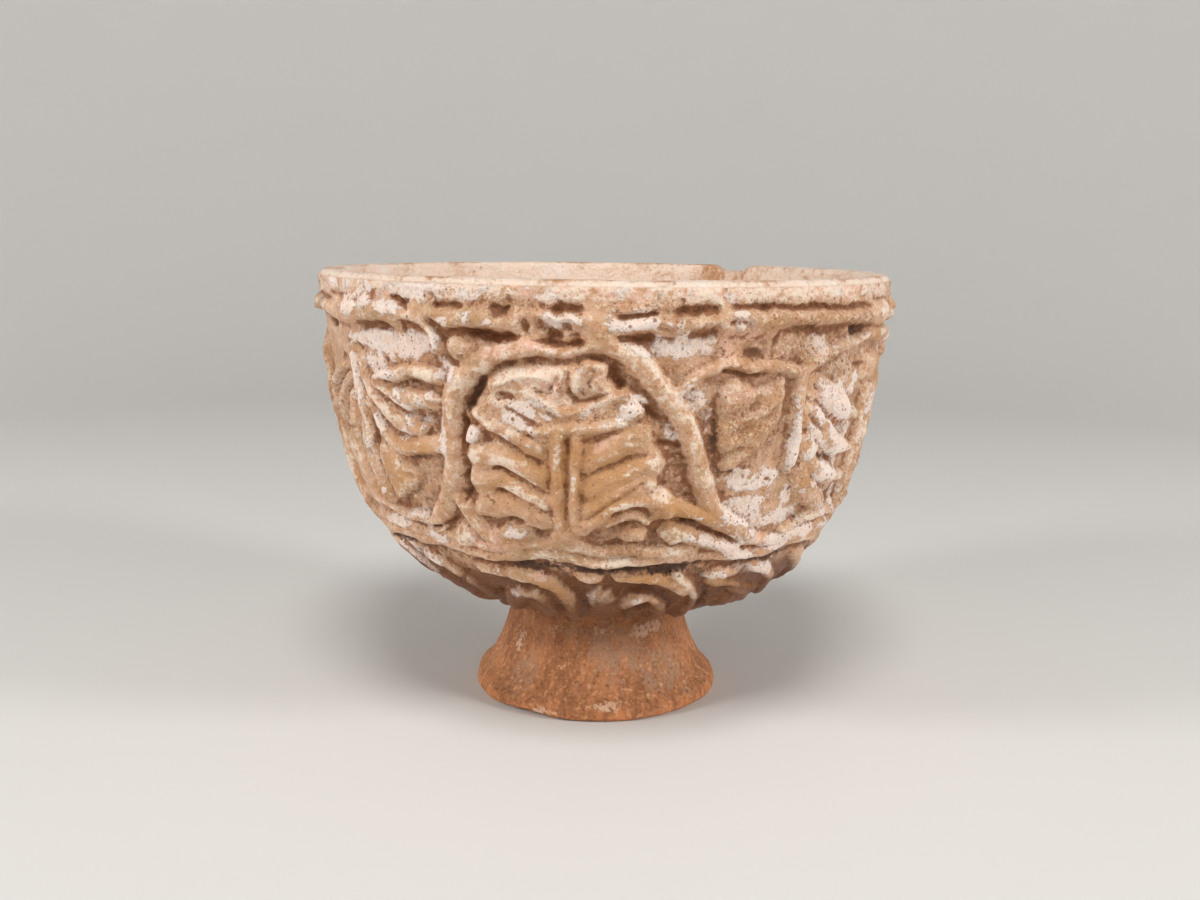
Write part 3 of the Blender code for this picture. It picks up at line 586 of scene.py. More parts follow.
def carve_palmette(clay):
    """The rising palmette: a body cut into leaves on both sides of a double stem, under a cup and a head."""
    left_tips = ((-16, 28.4), (-19.5, 28.8), (-22.2, 31.2), (-25.2, 32.4), (-24.2, 35), (-25, 38.5),
        (-24.2, 41), (-25, 44.6), (-20.5, 45.2), (-16.5, 44.4), (-12.5, 45.2), (-9.5, 46.4))
    foot = ((-5, 46), (-3, 46.6), (1, 45.4), (4.5, 44.4), (9.6, 44.4), (13.8, 42.6), (13.2, 39.2),
        (11, 37.4))
    right_tips = ((8.2, 36.8), (10.4, 35.2), (11.3, 33.2), (10.8, 31.2), (9.2, 29), (8, 26.8), (6, 25.4))
    top = ((2, 25.2), (-4, 25.4), (-10.5, 26), (-12.5, 27.8))
    clay.plates(0.6 * LEAF_HEIGHT, (*left_tips, *foot, *right_tips, *top))
    clay.ridges(5.5, 1.2 * LEAF_HEIGHT, ((-22.6, 32.2), (-17, 32.8), (-11.4, 35.8)),
        ((-2.4, 32.4), (2, 29.2), (6, 27.4)), ((-2.2, 37.6), (3, 34.6), (8.6, 32.8)),
        ((-22.6, 42.4), (-17, 41.7), (-11.2, 44.4)))
    clay.ridges(5.1, 1.2 * LEAF_HEIGHT, ((-23, 36.4), (-17, 37.3), (-11, 40.6)),
        ((-1.6, 41.4), (3.4, 38), (7.6, 36.4)))
    clay.ridges(3.4, LEAF_HEIGHT, ((-16.4, 27.4), (-13.4, 28.8), (-10.8, 30.2)))
    clay.ridges(2.9, 1.3 * LEAF_HEIGHT, ((-7.9, 27), (-7.8, 45.5)))
    clay.ridges(2.1, 1.3 * LEAF_HEIGHT, ((-5, 27), (-5, 45.5)))
    clay.ridges(2.4, 1.2 * LEAF_HEIGHT, ((-12, 26.6), (-6, 25.8), (0, 25.7), (3, 24.8)))
    clay.ridges(3.4, 1.25 * LEAF_HEIGHT, ((-4.4, 46), (0, 42.4), (5, 39.9), (10.2, 40.1), (12.6, 42.4)))
    clay.ridges(2.0, 1.1 * LEAF_HEIGHT, ((1, 44.6), (5, 42.8), (8.6, 44)))
    clay.mounds(1.1 * LEAF_HEIGHT, (-7.4, 47.9, 5.2, 4.4), (6.4, 46.9, 5.2, 4.2),
        (14.6, 47.2, 6.2, 4.6, -15), (-17.4, 47.6, 9.5, 4.4, 6), (-23.4, 28.4, 3.6, 3.8))
    carve_head(clay)
    clay.slots(0.7, 0.7, ((-20.5, 38.2), (-17.5, 38.7), (-14.5, 40), (-11, 41.8), (-9.7, 43)),
        ((-20, 34.3), (-17.5, 35.2), (-14, 36.6), (-11.5, 38.2), (-9.8, 39)),
        ((-18.3, 28.8), (-15.5, 30), (-12.8, 31.8), (-10.2, 32.8)), amount=0.1)
    clay.slots(0.9, 0.8, ((-20.5, 38.2), (-18, 38.5), (-16, 39.1)),
        ((-20, 34.3), (-17.5, 35.2), (-15.4, 35.9)), ((-18, 29), (-16.4, 29.6), (-14.6, 30.6)),
        ((-13, 31.8), (-11.4, 32.6), (-10, 32.7)), amount=0.9)
    clay.slots(0.7, 0.8, ((-3.2, 35), (-1, 34), (1.5, 32.6), (4.5, 31.4), (7.6, 30.7)),
        ((-3, 43.6), (-0.5, 41.2), (2.5, 39), (6, 36.9), (8, 35.9)), amount=0.15)
    clay.slots(0.6, 0.5, ((-6.4, 27.6), (-6.3, 35), (-6.2, 43)), ((-9.6, 29.5), (-9.5, 34), (-9.4, 43.5)),
        amount=0.1)
    clay.slots(0.8, 0.4, ((-3.7, 29.5), (-3.6, 34), (-3.6, 40)), amount=0.1)
    clay.slots(1.0, 0.8, ((-4.2, 27.9), (-2, 27.6), (0.5, 26.8), (2.4, 25.9)), ((-6.8, 27.6), (-6.8, 29)),
        ((0.6, 43.6), (2.6, 42), (5, 41.3), (7.8, 41.8), (9.4, 43.6)), amount=0.8)
    # Painted shadow under the lowest leaves and under the foot of the palmette.
    clay.slots(1.3, 1.1, ((-24, 45.3), (-21, 45.9), (-18.8, 44.8), (-16.5, 44.2), (-14, 45)),
        ((-3.4, 47.6), (-1, 46.8), (2, 45.6), (4.8, 45.1)), stain="dark", amount=0.8)
    clay.pits(0.5, (-3.4, 30.6, 0.9, 0.8), (-3.3, 32.1, 0.8, 0.8), (-3.3, 33.5, 0.8, 0.7),
        (-3, 39.6, 1.3, 1), (-6.4, 39.8, 0.9, 1), (-6.3, 42.2, 0.9, 0.7), (10.8, 46.9, 2, 2.2),
        (-8.6, 18.4, 1.3, 0.6, 20), (-17.2, 20.6, 1.4, 0.7), (-19.5, 21.2, 0.8, 1), stain="dark",
        amount=0.9)
    clay.pits(0.6, (-13.1, 27.7, 2, 1.6), (-11.4, 36.4, 2.2, 1.2), (-9.7, 36.2, 1, 1.8),
        (5.2, 27.8, 1.6, 0.9), (-21.4, 40.8, 2, 1), (7.2, 48.8, 1.2, 0.6), (9.6, 48.8, 0.9, 0.5))


def carve_head(clay):
    """The head over the palmette: a broad shoulder, an upright knob and nested cups under them."""
    clay.plates(0.8 * LEAF_HEIGHT, ((-20.6, 18), (-17, 15.9), (-12, 14.9), (-6.4, 14.4), (-3, 15),
        (-3, 18.6), (-6.4, 20.6), (-10.4, 20.2), (-13, 21.6), (-16.6, 20.8), (-19.6, 20.6)), edge=3.4)
    clay.plates(1.15 * LEAF_HEIGHT, ((-5, 15.6), (-3.4, 13.6), (-0.8, 13.2), (1, 14.4), (1.6, 17),
        (2.6, 19), (0, 20), (-3.4, 20), (-5.4, 18.4)), edge=2.8)
    clay.plates(0.55 * LEAF_HEIGHT, ((-23.4, 23.4), (-19, 20), (-10, 19), (0, 18.6), (6.4, 19.4), (7, 23),
        (3, 26), (-6, 26.4), (-14, 28), (-22, 28)), edge=2.0)
    clay.ridges(2.4, LEAF_HEIGHT, ((-12.4, 19.8), (-10, 21.8), (-6.6, 22.9), (-3, 22.2), (0.4, 20.6),
        (3.6, 19.4)))
    clay.ridges(1.5, 1.45 * LEAF_HEIGHT, ((-4.6, 19), (-4.2, 16.4), (-2.4, 14.4), (-0.2, 15.4), (-0.8, 18)))
    clay.ridges(1.6, 1.1 * LEAF_HEIGHT, ((-18.6, 18.6), (-13.6, 17), (-9.4, 17.2), (-7.6, 19.6)))
    clay.ridges(2.2, 0.8 * LEAF_HEIGHT, ((-19.4, 21.4), (-15.4, 23.4), (-11, 24.8)))
    clay.ridges(2.0, 0.75 * LEAF_HEIGHT, ((-3.6, 24.2), (-1, 23), (2, 21.4)),
        ((-22.6, 24), (-18, 25.6), (-13.4, 26.6)))
    clay.mounds(LEAF_HEIGHT, (4.4, 22.4, 4.6, 4.4, 60), (-19.6, 26.4, 5, 3.4, -20))
    clay.slots(1.0, 0.8, ((-6, 15.4), (-6.2, 18), (-5, 20.2), (-2.6, 20.9), (1, 20)),
        ((-7.6, 16.6), (-8.8, 18.6), (-8.2, 19.6)), amount=0.7)
    clay.slots(0.8, 0.6, ((-2.4, 19), (-2.2, 17), (-1.6, 16.2)), ((0.6, 16), (0.8, 18.2)), amount=0.6)
    clay.slots(0.9, 0.6, ((-17.6, 22), (-14.6, 23.8), (-11, 25.2)),
        ((-18.6, 20.2), (-16.6, 20.6), (-14.4, 21.6)), ((-21.6, 27.4), (-18.6, 28.2), (-16, 29)),
        ((-24.4, 26.2), (-22.6, 26), (-20.6, 27)), amount=0.8)


def carve_medallion(clay):
    """The grainy leaf medallion to the right of the arch, with the pale field under it."""
    outline = ((20.8, 18.6), (23, 17), (25.4, 18.2), (28.6, 19), (33.6, 17.4), (34, 22), (33.8, 25.6),
        (31.8, 29), (28.4, 32), (24.5, 34.8), (21.8, 34.2), (20.8, 29), (20.2, 24))
    clay.plates(LEAF_HEIGHT, outline, edge=2.0)
    clay.ridges(3.2, 0.9 * ARCH_HEIGHT, ((37.8, 17), (38, 26), (38.2, 35)))
    for level in (21.5, 25.5, 29.6):
        clay.slots(2.6, 0.9, ((20.8, level + 3), (25, level + 1.4), (29.6, level - 0.8), (33, level - 3)),
            amount=0.35)
    # Painted shadow along the medallion's right side and round its left and lower outline.
    clay.slots(1.6, 1.1, ((34.6, 18.4), (34.8, 20.8)), ((35, 25), (35.2, 29.4)), stain="dark", amount=0.7)
    clay.slots(0.9, 0.7, ((35.2, 21), (35.4, 25)), ((21.4, 34.9), (24, 35.5), (27, 34.8), (30, 33.4)),
        ((37.6, 35.3), (40, 35.6), (41.8, 36.2)))
    clay.slots(1.3, 0.9, ((20.2, 24), (19.9, 28), (20.4, 33), (22, 35.4), (25, 35.6), (28.6, 33)),
        stain="dark", amount=0.9)
    clay.slots(1.3, 0.6, ((22.6, 40.6), (25, 40.5), (27, 39.9), (29.4, 39.2)), amount=0.9)
    clay.slots(0.6, 0.3, ((32.4, 39.7), (34, 39.2), (36.4, 39.7)), amount=0.7)
    clay.pits(0.8, (39.5, 38.6, 2.8, 1.2, -20), (41.3, 45.4, 1.5, 2.2), stain="dark", amount=0.7)
    clay.pits(0.4, (46.2, 42.4, 2.2, 1.6, 20), (30.5, 45, 1.6, 0.8), (33, 45.2, 2, 0.8), amount=0.7)


def carve_drooping_palmette(clay):
    """The drooping palmette to the left of the arch: lobes to its right and long leaves below."""
    clay.leaves(3.6, LEAF_HEIGHT, ((-47, 19.8), (-42, 18.6), (-36, 18), (-30.5, 18.3)),
        ((-47, 20.8), (-42, 22), (-37, 22.8), (-31.6, 22.2)),
        ((-57, 18), (-62, 19.4), (-68, 23), (-72, 29)))
    clay.leaves(4.4, LEAF_HEIGHT, ((-49, 22.5), (-45, 25.2), (-41, 27), (-35.5, 28.2)),
        ((-50.4, 24.8), (-46.4, 29.2), (-42, 32), (-36.4, 32.6), (-31, 31)),
        ((-57, 20), (-62, 25), (-66, 31), (-68, 38)))
    clay.plates(LEAF_HEIGHT, ((-47.6, 31.6), (-44, 32.6), (-40.6, 35.6), (-37.6, 37.4), (-39.4, 40),
        (-42.6, 42.6), (-45.4, 44.2), (-47.2, 42.4), (-48.4, 39), (-49, 35)))
    clay.mounds(1.3 * LEAF_HEIGHT, (-43.8, 38.2, 11.5, 8, 105))
    clay.leaves(5.0, LEAF_HEIGHT, ((-52.6, 23), (-53, 30), (-52.2, 37), (-51, 44)))
    clay.leaves(7.4, LEAF_HEIGHT, ((-56, 24), (-58.5, 30), (-60, 36), (-57, 43)))
    clay.ridges(2.2, 0.8 * LEAF_HEIGHT, ((-51, 16), (-50.6, 20), (-49.6, 23)), ((-54.4, 16), (-54, 22)))
    clay.ridges(3.2, ARCH_HEIGHT, ((-76, 16), (-77, 32), (-77, 42), (-72, 50)))
    clay.ridges(2.4, LEAF_HEIGHT, ((-64, 45), (-55, 45.6), (-47, 47.4), (-40, 47.4)))
    # Painted shadow under the lobes and along the right edge of the big leaf.
    clay.slots(1.7, 1.2, ((-38, 19.9), (-35, 19.4), (-32, 19.9), (-28.8, 19.8)),
        ((-40.2, 34.3), (-37, 34.5), (-34, 33.9), (-31, 32.8)), stain="dark", amount=0.75)
    clay.slots(1.7, 1.2, ((-31.8, 24.4), (-31.6, 25.6), (-33.4, 26.7), (-36.5, 27.2)),
        ((-32.4, 35.9), (-35, 37.6), (-37.5, 39.6), (-40, 41.6), (-43, 43.4), (-45.2, 44.8)), stain="dark",
        amount=0.8)
    clay.slots(0.7, 0.7, ((-44.6, 22.5), (-42.5, 23.7), (-39.8, 24.3)),
        ((-33.3, 23.2), (-30.5, 22.9), (-28.2, 22.6)),
        ((-46.5, 25.6), (-44, 27.3), (-41.5, 29.2), (-39.6, 30.2)),
        ((-57.8, 13.1), (-54, 13.3), (-50.4, 13.8)), ((-54, 26), (-53.2, 29), (-52.5, 33), (-51, 36)),
        ((-62, 31.2), (-59.5, 30.7), (-57, 30.4)), ((-50.5, 45.9), (-47, 46.2), (-44.6, 46.6)),
        ((-55.8, 47.3), (-52, 47.6), (-49.3, 47.9)), ((-52.4, 19.6), (-52, 23)), ((-53.6, 37), (-52, 44)))
    clay.slots(1.0, 0.8, ((-49.9, 25.5), (-50, 29), (-49.9, 33), (-49.4, 37), (-48.7, 40)))
    clay.slots(1.3, 0.4, ((-40.5, 16.9), (-38, 16.3), (-35.8, 16.1)), amount=0.9)
    clay.pits(0.8, (-39.8, 38.1, 2.6, 1.7, -15), (-48.7, 38.3, 1.8, 1.4), (-48.2, 40.2, 1.6, 1.1),
        (-35.6, 28.2, 0.7, 0.6), stain="dark", amount=0.9)
    clay.pits(0.4, (-59.7, 16.6, 2.8, 1.3), (-31, 29.4, 1.2, 0.9), (-37, 12.8, 1, 0.6, 60),
        (-34.6, 12.8, 1.2, 0.5, -20), (-49.4, 13.4, 0.8, 0.5), (-60, 28, 2.4, 0.9), amount=0.8)


def carve_side_palmette(clay):
    """The palmette to the right of the medallion: a stem between leaves that rise to both sides."""
    stem = 64.0
    leaves = (((4, 27.5), (13, 24.5), (22, 19.5)), ((4, 34), (11, 32.5), (17.5, 29), (22.5, 25)),
        ((4, 40.5), (11, 39), (17.5, 35.5), (22.5, 30)), ((4, 46), (12, 44.5), (18.5, 41), (21.5, 37)))
    for side in (-1, 1):
        clay.ridges(2.8, LEAF_HEIGHT, ((stem + 1.7 * side, 22), (stem + 1.7 * side, 46)))
        for leaf in leaves:
            path = [(stem + side * across, down) for across, down in leaf]
            below = [(angle, down + 2.8) for angle, down in path]
            clay.leaves(5.6, 0.75 * LEAF_HEIGHT, path)
            clay.slots(0.8, 0.5, below, amount=0.4)
    clay.mounds(LEAF_HEIGHT, (stem, 17.5, 13, 6.5))
    clay.ridges(3.6, ARCH_HEIGHT, ((91, 50), (91, 30), (86, 18), (76, 12), (64, 10.5)))
    clay.ridges(2.6, 0.7 * ARCH_HEIGHT, ((38, 17), (44, 13.6), (54, 11.8), (64, 10.5)))
    clay.ridges(2.4, LEAF_HEIGHT, ((42, 49), (52, 47.2), (64, 48), (76, 47.2), (86, 49)))
    clay.slots(1.0, 0.7, ((40.5, 19), (42.6, 20.7)), ((41, 25), (43.5, 27.2), (46.5, 28.8)),
        ((55, 16.8), (60, 16.4)))
    # Painted shadow under a leaf's lower edge.
    clay.slots(1.4, 0.9, ((45.6, 33), (48.5, 34.4), (52.2, 35.3)), stain="dark", amount=0.8)
    clay.pits(0.6, (41.2, 28.4, 1.6, 1.5), (56, 44.6, 4.6, 3.4, -20))


def carve_scrolls(clay):
    """The running scroll on the underside: a leaf, a spiral, a lobe and two slanting strips."""
    # Slots in the groove under the lower band, their dark partly painted shadow.
    clay.slots(3.0, 1.2, ((-42.6, 56), (-38, 56.2), (-34, 55.8)), stain="dark", amount=0.7)
    clay.slots(1.5, 1.0, ((-32, 56.2), (-29, 56.2), (-27, 55.9)),
        ((-20.6, 55.8), (-15, 55.9), (-9.4, 55.7)), ((20.6, 55.3), (24, 55.6), (27, 56.2)),
        ((33, 55.6), (38, 56), (42, 56.4)), ((5, 55.2), (11, 55.4), (16.4, 55)), amount=0.9)
    clay.slots(1.0, 0.8, ((-9, 55), (-4, 55.1), (0.4, 55)), ((46, 56), (58, 55.6)),
        ((64, 55.4), (76, 55.6)))
    clay.ridges(4.0, 0.7 * SCROLL_HEIGHT, ((-64, 57), (-57, 60.6), (-50, 65), (-45, 71), (-43, 78)),
        ((-46, 58), (-39, 61.5), (-34, 67), (-33, 76)))
    clay.mounds(SCROLL_HEIGHT, (-25, 58.4, 9, 3.8, -4), (-2.6, 57.8, 5.4, 3), (0.8, 66.5, 13, 7.6, 90))
    clay.mounds(0.7 * SCROLL_HEIGHT, (42, 69, 14, 8, 8), (30, 58.6, 9, 3, -10))
    clay.ridges(4.6, SCROLL_HEIGHT, ((-27.4, 73), (-22.8, 66.6), (-17.6, 64), (-13.6, 66.4), (-13, 70.4),
        (-15.6, 73.6)))
    clay.ridges(5.4, 1.1 * SCROLL_HEIGHT, ((-19, 58.4), (-13.6, 59.8), (-9.6, 63), (-7.2, 67.6), (-7, 72),
        (-8, 76)))
    clay.ridges(3.0, SCROLL_HEIGHT, ((4, 57.2), (10, 57.6), (16, 59.6), (20.6, 62.4)),
        ((16.6, 57.2), (20.6, 60.6), (24, 64.6), (25.6, 70), (25, 75.4)))
    clay.ridges(3.8, 1.1 * SCROLL_HEIGHT, ((5.4, 66.4), (8, 63.8), (12.6, 63.8), (15.8, 67), (17, 72),
        (14.6, 76.4)))
    clay.ridges(2.0, SCROLL_HEIGHT, ((8.6, 75), (8.6, 71), (11, 67.6), (13.4, 68.6)))
    clay.ridges(3.0, 0.7 * SCROLL_HEIGHT, ((27, 60), (34, 62.6), (42, 66), (49, 71)),
        ((38, 57), (45, 59.6), (51, 63.6), (55, 69)))
    # Grooves between the scrolls, darkened partly as soil, partly as painted shade.
    clay.slots(1.5, 0.9, ((4.6, 60.5), (9, 61), (13.2, 62.2), (16.8, 65.2), (18.9, 69), (19.8, 74)),
        ((-27, 60.6), (-21, 60.8), (-16.4, 61.6)), ((-12.4, 66.6), (-10.9, 70), (-12.2, 74), (-15, 77)),
        ((-27, 66), (-31, 70), (-37, 74.4)), ((26.6, 62), (29.4, 67), (31, 74)),
        ((9.6, 66.6), (9, 70), (10, 73)), stain="dark", amount=0.9)
    clay.slots(2.2, 1.0, ((-4.6, 66), (-4.8, 70), (-4.4, 75)), stain="dark", amount=0.8)
    clay.slots(1.0, 0.6, ((-43, 66.5), (-38, 63.6), (-33.4, 60.6)), ((30, 62.6), (40, 64), (50, 66)))
    clay.pits(1.0, (-19.3, 69.4, 2.2, 1.8, 40), (11.8, 69.6, 3, 4.4), (-17.8, 62.6, 3.4, 2.8), stain="dark",
        amount=0.8)


def carve_all(clay):
    """The whole carving. Each panel's drawing is turned from where it is drawn to where it stands."""
    carve_bands(clay)
    for clay.turn in (0.0, 192.0):
        carve_drooping_palmette(clay)
    for clay.turn in (0.0, 74.0, 192.0):
        carve_medallion(clay)
    for clay.turn in (0.0, 190.0):
        carve_side_palmette(clay)
    for clay.turn in (0.0, 192.0):
        carve_palmette(clay)
        carve_arch(clay)
    for clay.turn in (0.0, 120.0, 240.0):
        carve_scrolls(clay)
        carve_roll(clay)
    clay.turn = 0.0
    clay.height *= smooth_step((SCROLL_EDGE - clay.downs) / SCROLL_FADE)[:, None]


def softened(height, passes):
    """The heights with their edges worn soft, each cell shared with its neighbours."""
    for _ in range(passes):
        height = (np.roll(height, 1, axis=1) + 2.0 * height + np.roll(height, -1, axis=1)) / 4.0
        beyond = np.pad(height, ((1, 1), (0, 0)), mode="edge")
        height = (beyond[:-2] + 2.0 * height + beyond[2:]) / 4.0
    return height


def stain_panels(clay):
    """Where crust, stains, thick glaze, painted highlights and painted shadows lie. Patches as (angle, down,
    length, width, strength, tilt).
    """
    clay.patches("pale", (-44, 12.4, 24, 5), (-36, 3, 14, 4, 0.8), (-46, 17, 16, 5, 0.9, -20),
        (-53.6, 20.5, 10, 5, 1, 90), (-28.4, 16.4, 4, 5), (-30, 27, 8, 3, 0.9, 90),
        (-31.5, 21.3, 5, 2.4, 0.9), (-39.5, 29.4, 3, 4, 0.8, -50), (-47, 27.6, 7, 3, 0.8, -50),
        (-23.4, 28.2, 3.4, 3, 1, -60), (-15, 25.4, 10, 3, 0.8, -24), (-13, 22.7, 5, 1.8, 1, -28),
        (-9.8, 23.8, 4, 1.2, 0.9, -24), (-2.8, 23, 5, 1.4, 1, 24), (-16, 28.4, 8, 3, 0.8, -24),
        (-3.6, 14.8, 5, 2, 0.6), (0.8, 17.4, 2, 4, 0.5), (4, 21.6, 7, 5, 0.8, 30),
        (11.6, 26.6, 4.6, 2.6, 0.9, -70), (5, 7, 9, 3), (14.5, 11.4, 8, 4.6), (8, 11.4, 7, 2.4, 0.8, -16),
        (16.6, 22, 10, 4, 1, -65), (22.6, 5.9, 4, 1.2, 0.9), (30, 37.6, 16, 5, 0.8),
        (30, 44, 16, 6, 0.85, -24), (18.9, 25, 10, 2, 1, 78), (17.6, 20.6, 5, 3, 0.9),
        (38, 29, 12, 3.4, 1, 90), (42.5, 11, 6, 3.4, 1, -30), (48, 25.4, 8, 4, 0.9, -24),
        (51, 29, 9, 4, 0.9, -20), (52, 38, 8, 4, 0.9, -20), (56.4, 19.2, 4, 3.4), (57, 28, 6, 8, 0.8),
        (27, 51, 10, 3, 1, -24), (42, 51.6, 12, 4), (-37.6, 51.6, 5, 4), (-50, 49.8, 11, 3.4, 1, 8),
        (-41, 46.2, 8, 2, 0.8, 10), (-52, 62, 16, 9, 0.8, 30), (-16.6, 47.4, 6, 3, 0.8, 10),
        (21, 48.6, 9, 2.6, 0.9, -25), (-21, 62, 2.6, 2, 0.8), (-2.6, 61.8, 2.6, 5),
        (8.4, 63, 4, 1.8, 0.7, 10), (41, 58.6, 12, 3, 0.9, -14), (26, 58.4, 7, 2.4, 0.7, -12),
        (-24.8, 57.6, 5, 1.6, 0.6), (-40, 5.4, 10, 3, 0.9), (-52, 6, 5, 5), (-23, 3, 8, 2, 0.8),
        (-48, 60.6, 14, 5, 1, 16), (-2.6, 63, 8, 2.6, 0.9, 90), (42, 13, 5, 6), (38, 46, 16, 6, 0.7),
        (50, 50, 14, 4, 0.9), (44, 41, 3, 3, 0.6), (53, 41.6, 8, 3, 0.7, -16), (55, 33, 8, 4, 1, -20),
        (46, 30.6, 6, 2.6, 0.9, -30), (8, 11.6, 10, 3.6, 1, -10), (31, 53, 9, 3, 0.8, -10),
        (-22, 64.4, 3, 4, 0.7, 50), (-54, 56, 10, 3, 0.8, 16))
    clay.patches("pale", (50, 18, 16, 12, 0.55), (52, 33, 16, 20, 0.6), (-46, 16, 20, 10, 0.5),
        (-50, 33, 10, 24, 0.35), (30, 48, 20, 8, 0.4), (-40, 50, 20, 6, 0.5), (-48, 66, 20, 16, 0.5),
        (-10, 23, 26, 6, 0.5), (44, 57, 18, 4, 0.5), (60, 46, 12, 14, 0.6), (-37, 24, 16, 16, 0.55),
        (-36, 13, 18, 8, 0.6), (36, 42, 22, 16, 0.5), (46, 26, 20, 26, 0.55), (-40, 4, 30, 7, 0.6),
        (3, 5, 12, 6, 0.6), (44, 12, 16, 7, 0.5), (50, 24, 18, 16, 0.7), (52, 38, 14, 12, 0.6),
        (-40, 27, 14, 10, 0.5))
    # Cream of the pale places; the narrow patches along the palmette's leaves are painted highlights.
    clay.patches("cream", (52, 30, 20, 36, 0.5), (-10, 20, 34, 12, 0.5), (-46, 30, 20, 36, 0.3),
        (-14, 16.6, 13, 4, 0.9, 8), (-17, 21, 6, 3, 0.8), (-9, 19, 6, 3, 0.7, 20), (30, 19.4, 6, 2, 0.7),
        (25, 24.4, 8, 1.8, 0.8, 22), (3.6, 24.6, 5, 2, 0.8), (-23, 32, 4, 2.4, 0.9, 40),
        (9.6, 31.8, 3, 3, 0.8), (10, 38, 5, 2.6, 1, -30), (-6, 51.6, 9, 2, 0.8, 14), (3, 53, 7, 2),
        (16, 51, 6, 4, 0.8, -10), (-29, 50, 6, 4, 0.8), (16.6, 47.6, 3, 2.6, 0.8), (-33, 17.6, 6, 2, 0.8),
        (-36, 22.4, 8, 1.4, 0.5, -6), (6, 24.6, 6, 2.4, 0.6), (-21, 17, 5, 3, 0.6, 30),
        (-12, 52.6, 5, 3, 0.8, 20), (-18, 32.6, 7, 1.8, 0.8, -10), (-15, 38.2, 6, 1.6, 0.7, -22),
        (2.4, 29.8, 6, 1.4, 0.7, 26), (5, 33.6, 5, 1.2, 0.6, 24), (-7.9, 32, 9, 1.2, 0.6, 90),
        (-5, 38, 8, 0.9, 0.5, 90), (4, 40.2, 6, 1.4, 0.7, 10), (-61, 36, 8, 5, 0.6),
        (49, 46.6, 7, 3, 0.8, -20), (-48, 6, 6, 4, 0.7), (13, 17, 3, 3, 0.8))
    # Cream along the outer sides of the arch's limbs, on the head and along the leaves' tops: pale wear and
    # painted highlight.
    clay.strokes("cream", 1.6, 0.65, ((3, 10.6), (7, 13.8), (10.4, 17.2), (13.4, 20.4)), ((13.4, 20.4),
        (16.2, 24.8), (18.2, 29), (19.6, 33), (20.8, 37), (22.8, 40.6), (26, 43.4), (30, 46.4)),
        ((17, 57), (20.6, 60), (23.6, 63.4)))
    clay.strokes("cream", 1.2, 0.8, ((-10, 20.4), (-7, 21.4), (-2, 19.6)), ((-29.8, 22), (-30, 34)),
        ((-24, 23.6), (-19, 25.4), (-12, 28)), ((-29.5, 12), (-30.6, 9)),
        ((-20, 33.4), (-15, 35.4), (-11.4, 37.6)), ((-19, 37.6), (-14, 39.2), (-10, 42)))
    clay.patches("grain", (0, 4.2, 70, 2.4, 0.75), (40, 4.2, 44, 2.4, 0.8), (40, 7, 44, 5, 0.8),
        (27, 26, 18, 14.4, 0.95, 90), (14, 5.6, 12, 3), (-17, 4.6, 10, 4, 0.9), (36, 13, 12, 8),
        (48, 16, 16, 8, 0.9), (14, 34, 12, 5, 0.6, -62), (-24.4, 13.6, 6, 3, 0.8), (4, 50.4, 16, 3, 0.8),
        (-20, 22.6, 5, 5, 0.6), (20, 52, 8, 4, 0.8), (42, 38, 8, 8, 0.5), (-25, 58, 7, 3, 0.6),
        (46, 44, 8, 7, 0.6))
    clay.patches("rust", (-24.6, 14, 5, 2.4, 0.9), (-27.6, 9.8, 4, 4, 0.8), (-18.6, 46.4, 6, 1.4, 0.9, 14),
        (7, 51.2, 13, 1.6), (14, 34, 10, 5, 0.75, -65), (11, 29, 5, 2.4, 0.6, 30),
        (20.4, 25, 9, 3, 0.8, 90), (33, 1, 2.4, 1.4), (13.2, 11.6, 1.2, 1.2, 0.9),
        (-16.8, 22.8, 2, 3.4, 0.7, 30), (-46, 50.2, 4, 2, 0.8), (-42.6, 50.4, 4, 2, 0.9),
        (1, 49.4, 6, 2, 0.7), (20, 29.6, 7, 2.6, 0.9, 90), (42.8, 26.6, 6, 2.4, 0.8, -40),
        (22, 52.6, 6, 3, 0.7), (57.6, 16.6, 5, 1.4, 0.9))
    clay.strokes("rust", 1.5, 0.8, ((-11.6, 20.8), (-9.4, 22.2), (-7, 23), (-4, 22.6), (-1, 21), (1.4, 20)),
        ((-16.4, 22.6), (-13.2, 24.6), (-10.6, 25.6)), ((1.8, 21.4), (-0.6, 23.2), (-4, 24.8)))
    clay.patches("rust", (34, 70, 22, 12, 0.9, -10), (-12, 74, 20, 8, 0.7), (12, 75, 20, 6, 0.7),
        (-10, 4.4, 8, 2, 0.6), (24, 5, 5, 1.4, 0.9), (22, 31, 6, 2.6, 0.8, 70), (33, 24, 6, 1.6, 0.7, 85),
        (27, 9.8, 8, 3, 0.5), (52, 5.6, 9, 2.4), (36, 8.8, 9, 2.4), (58, 9.2, 6, 2.4),
        (43.6, 7.4, 5, 2, 0.8), (37, 4.6, 6, 1.6, 0.8), (-16, 3.4, 7, 2.4, 0.6), (12, 3.6, 8, 1.6, 0.6),
        (47, 3.6, 6, 1.6, 0.7), (40, 5.6, 5, 1.4, 0.6), (-17, 8, 6, 3, 0.5), (25, 30, 6, 2, 0.6, 20),
        (31, 21, 5, 1.6, 0.5, 30), (46, 33.4, 5, 1.6, 0.6, -20), (-58, 30.6, 6, 1.6, 0.6, 4),
        (-10, 52.8, 8, 1.4, 0.8, 8), (-2, 50.2, 6, 1.2, 0.6), (14, 53.2, 8, 1.2, 0.7, -6),
        (-30, 53, 8, 1.4, 0.7, 8))
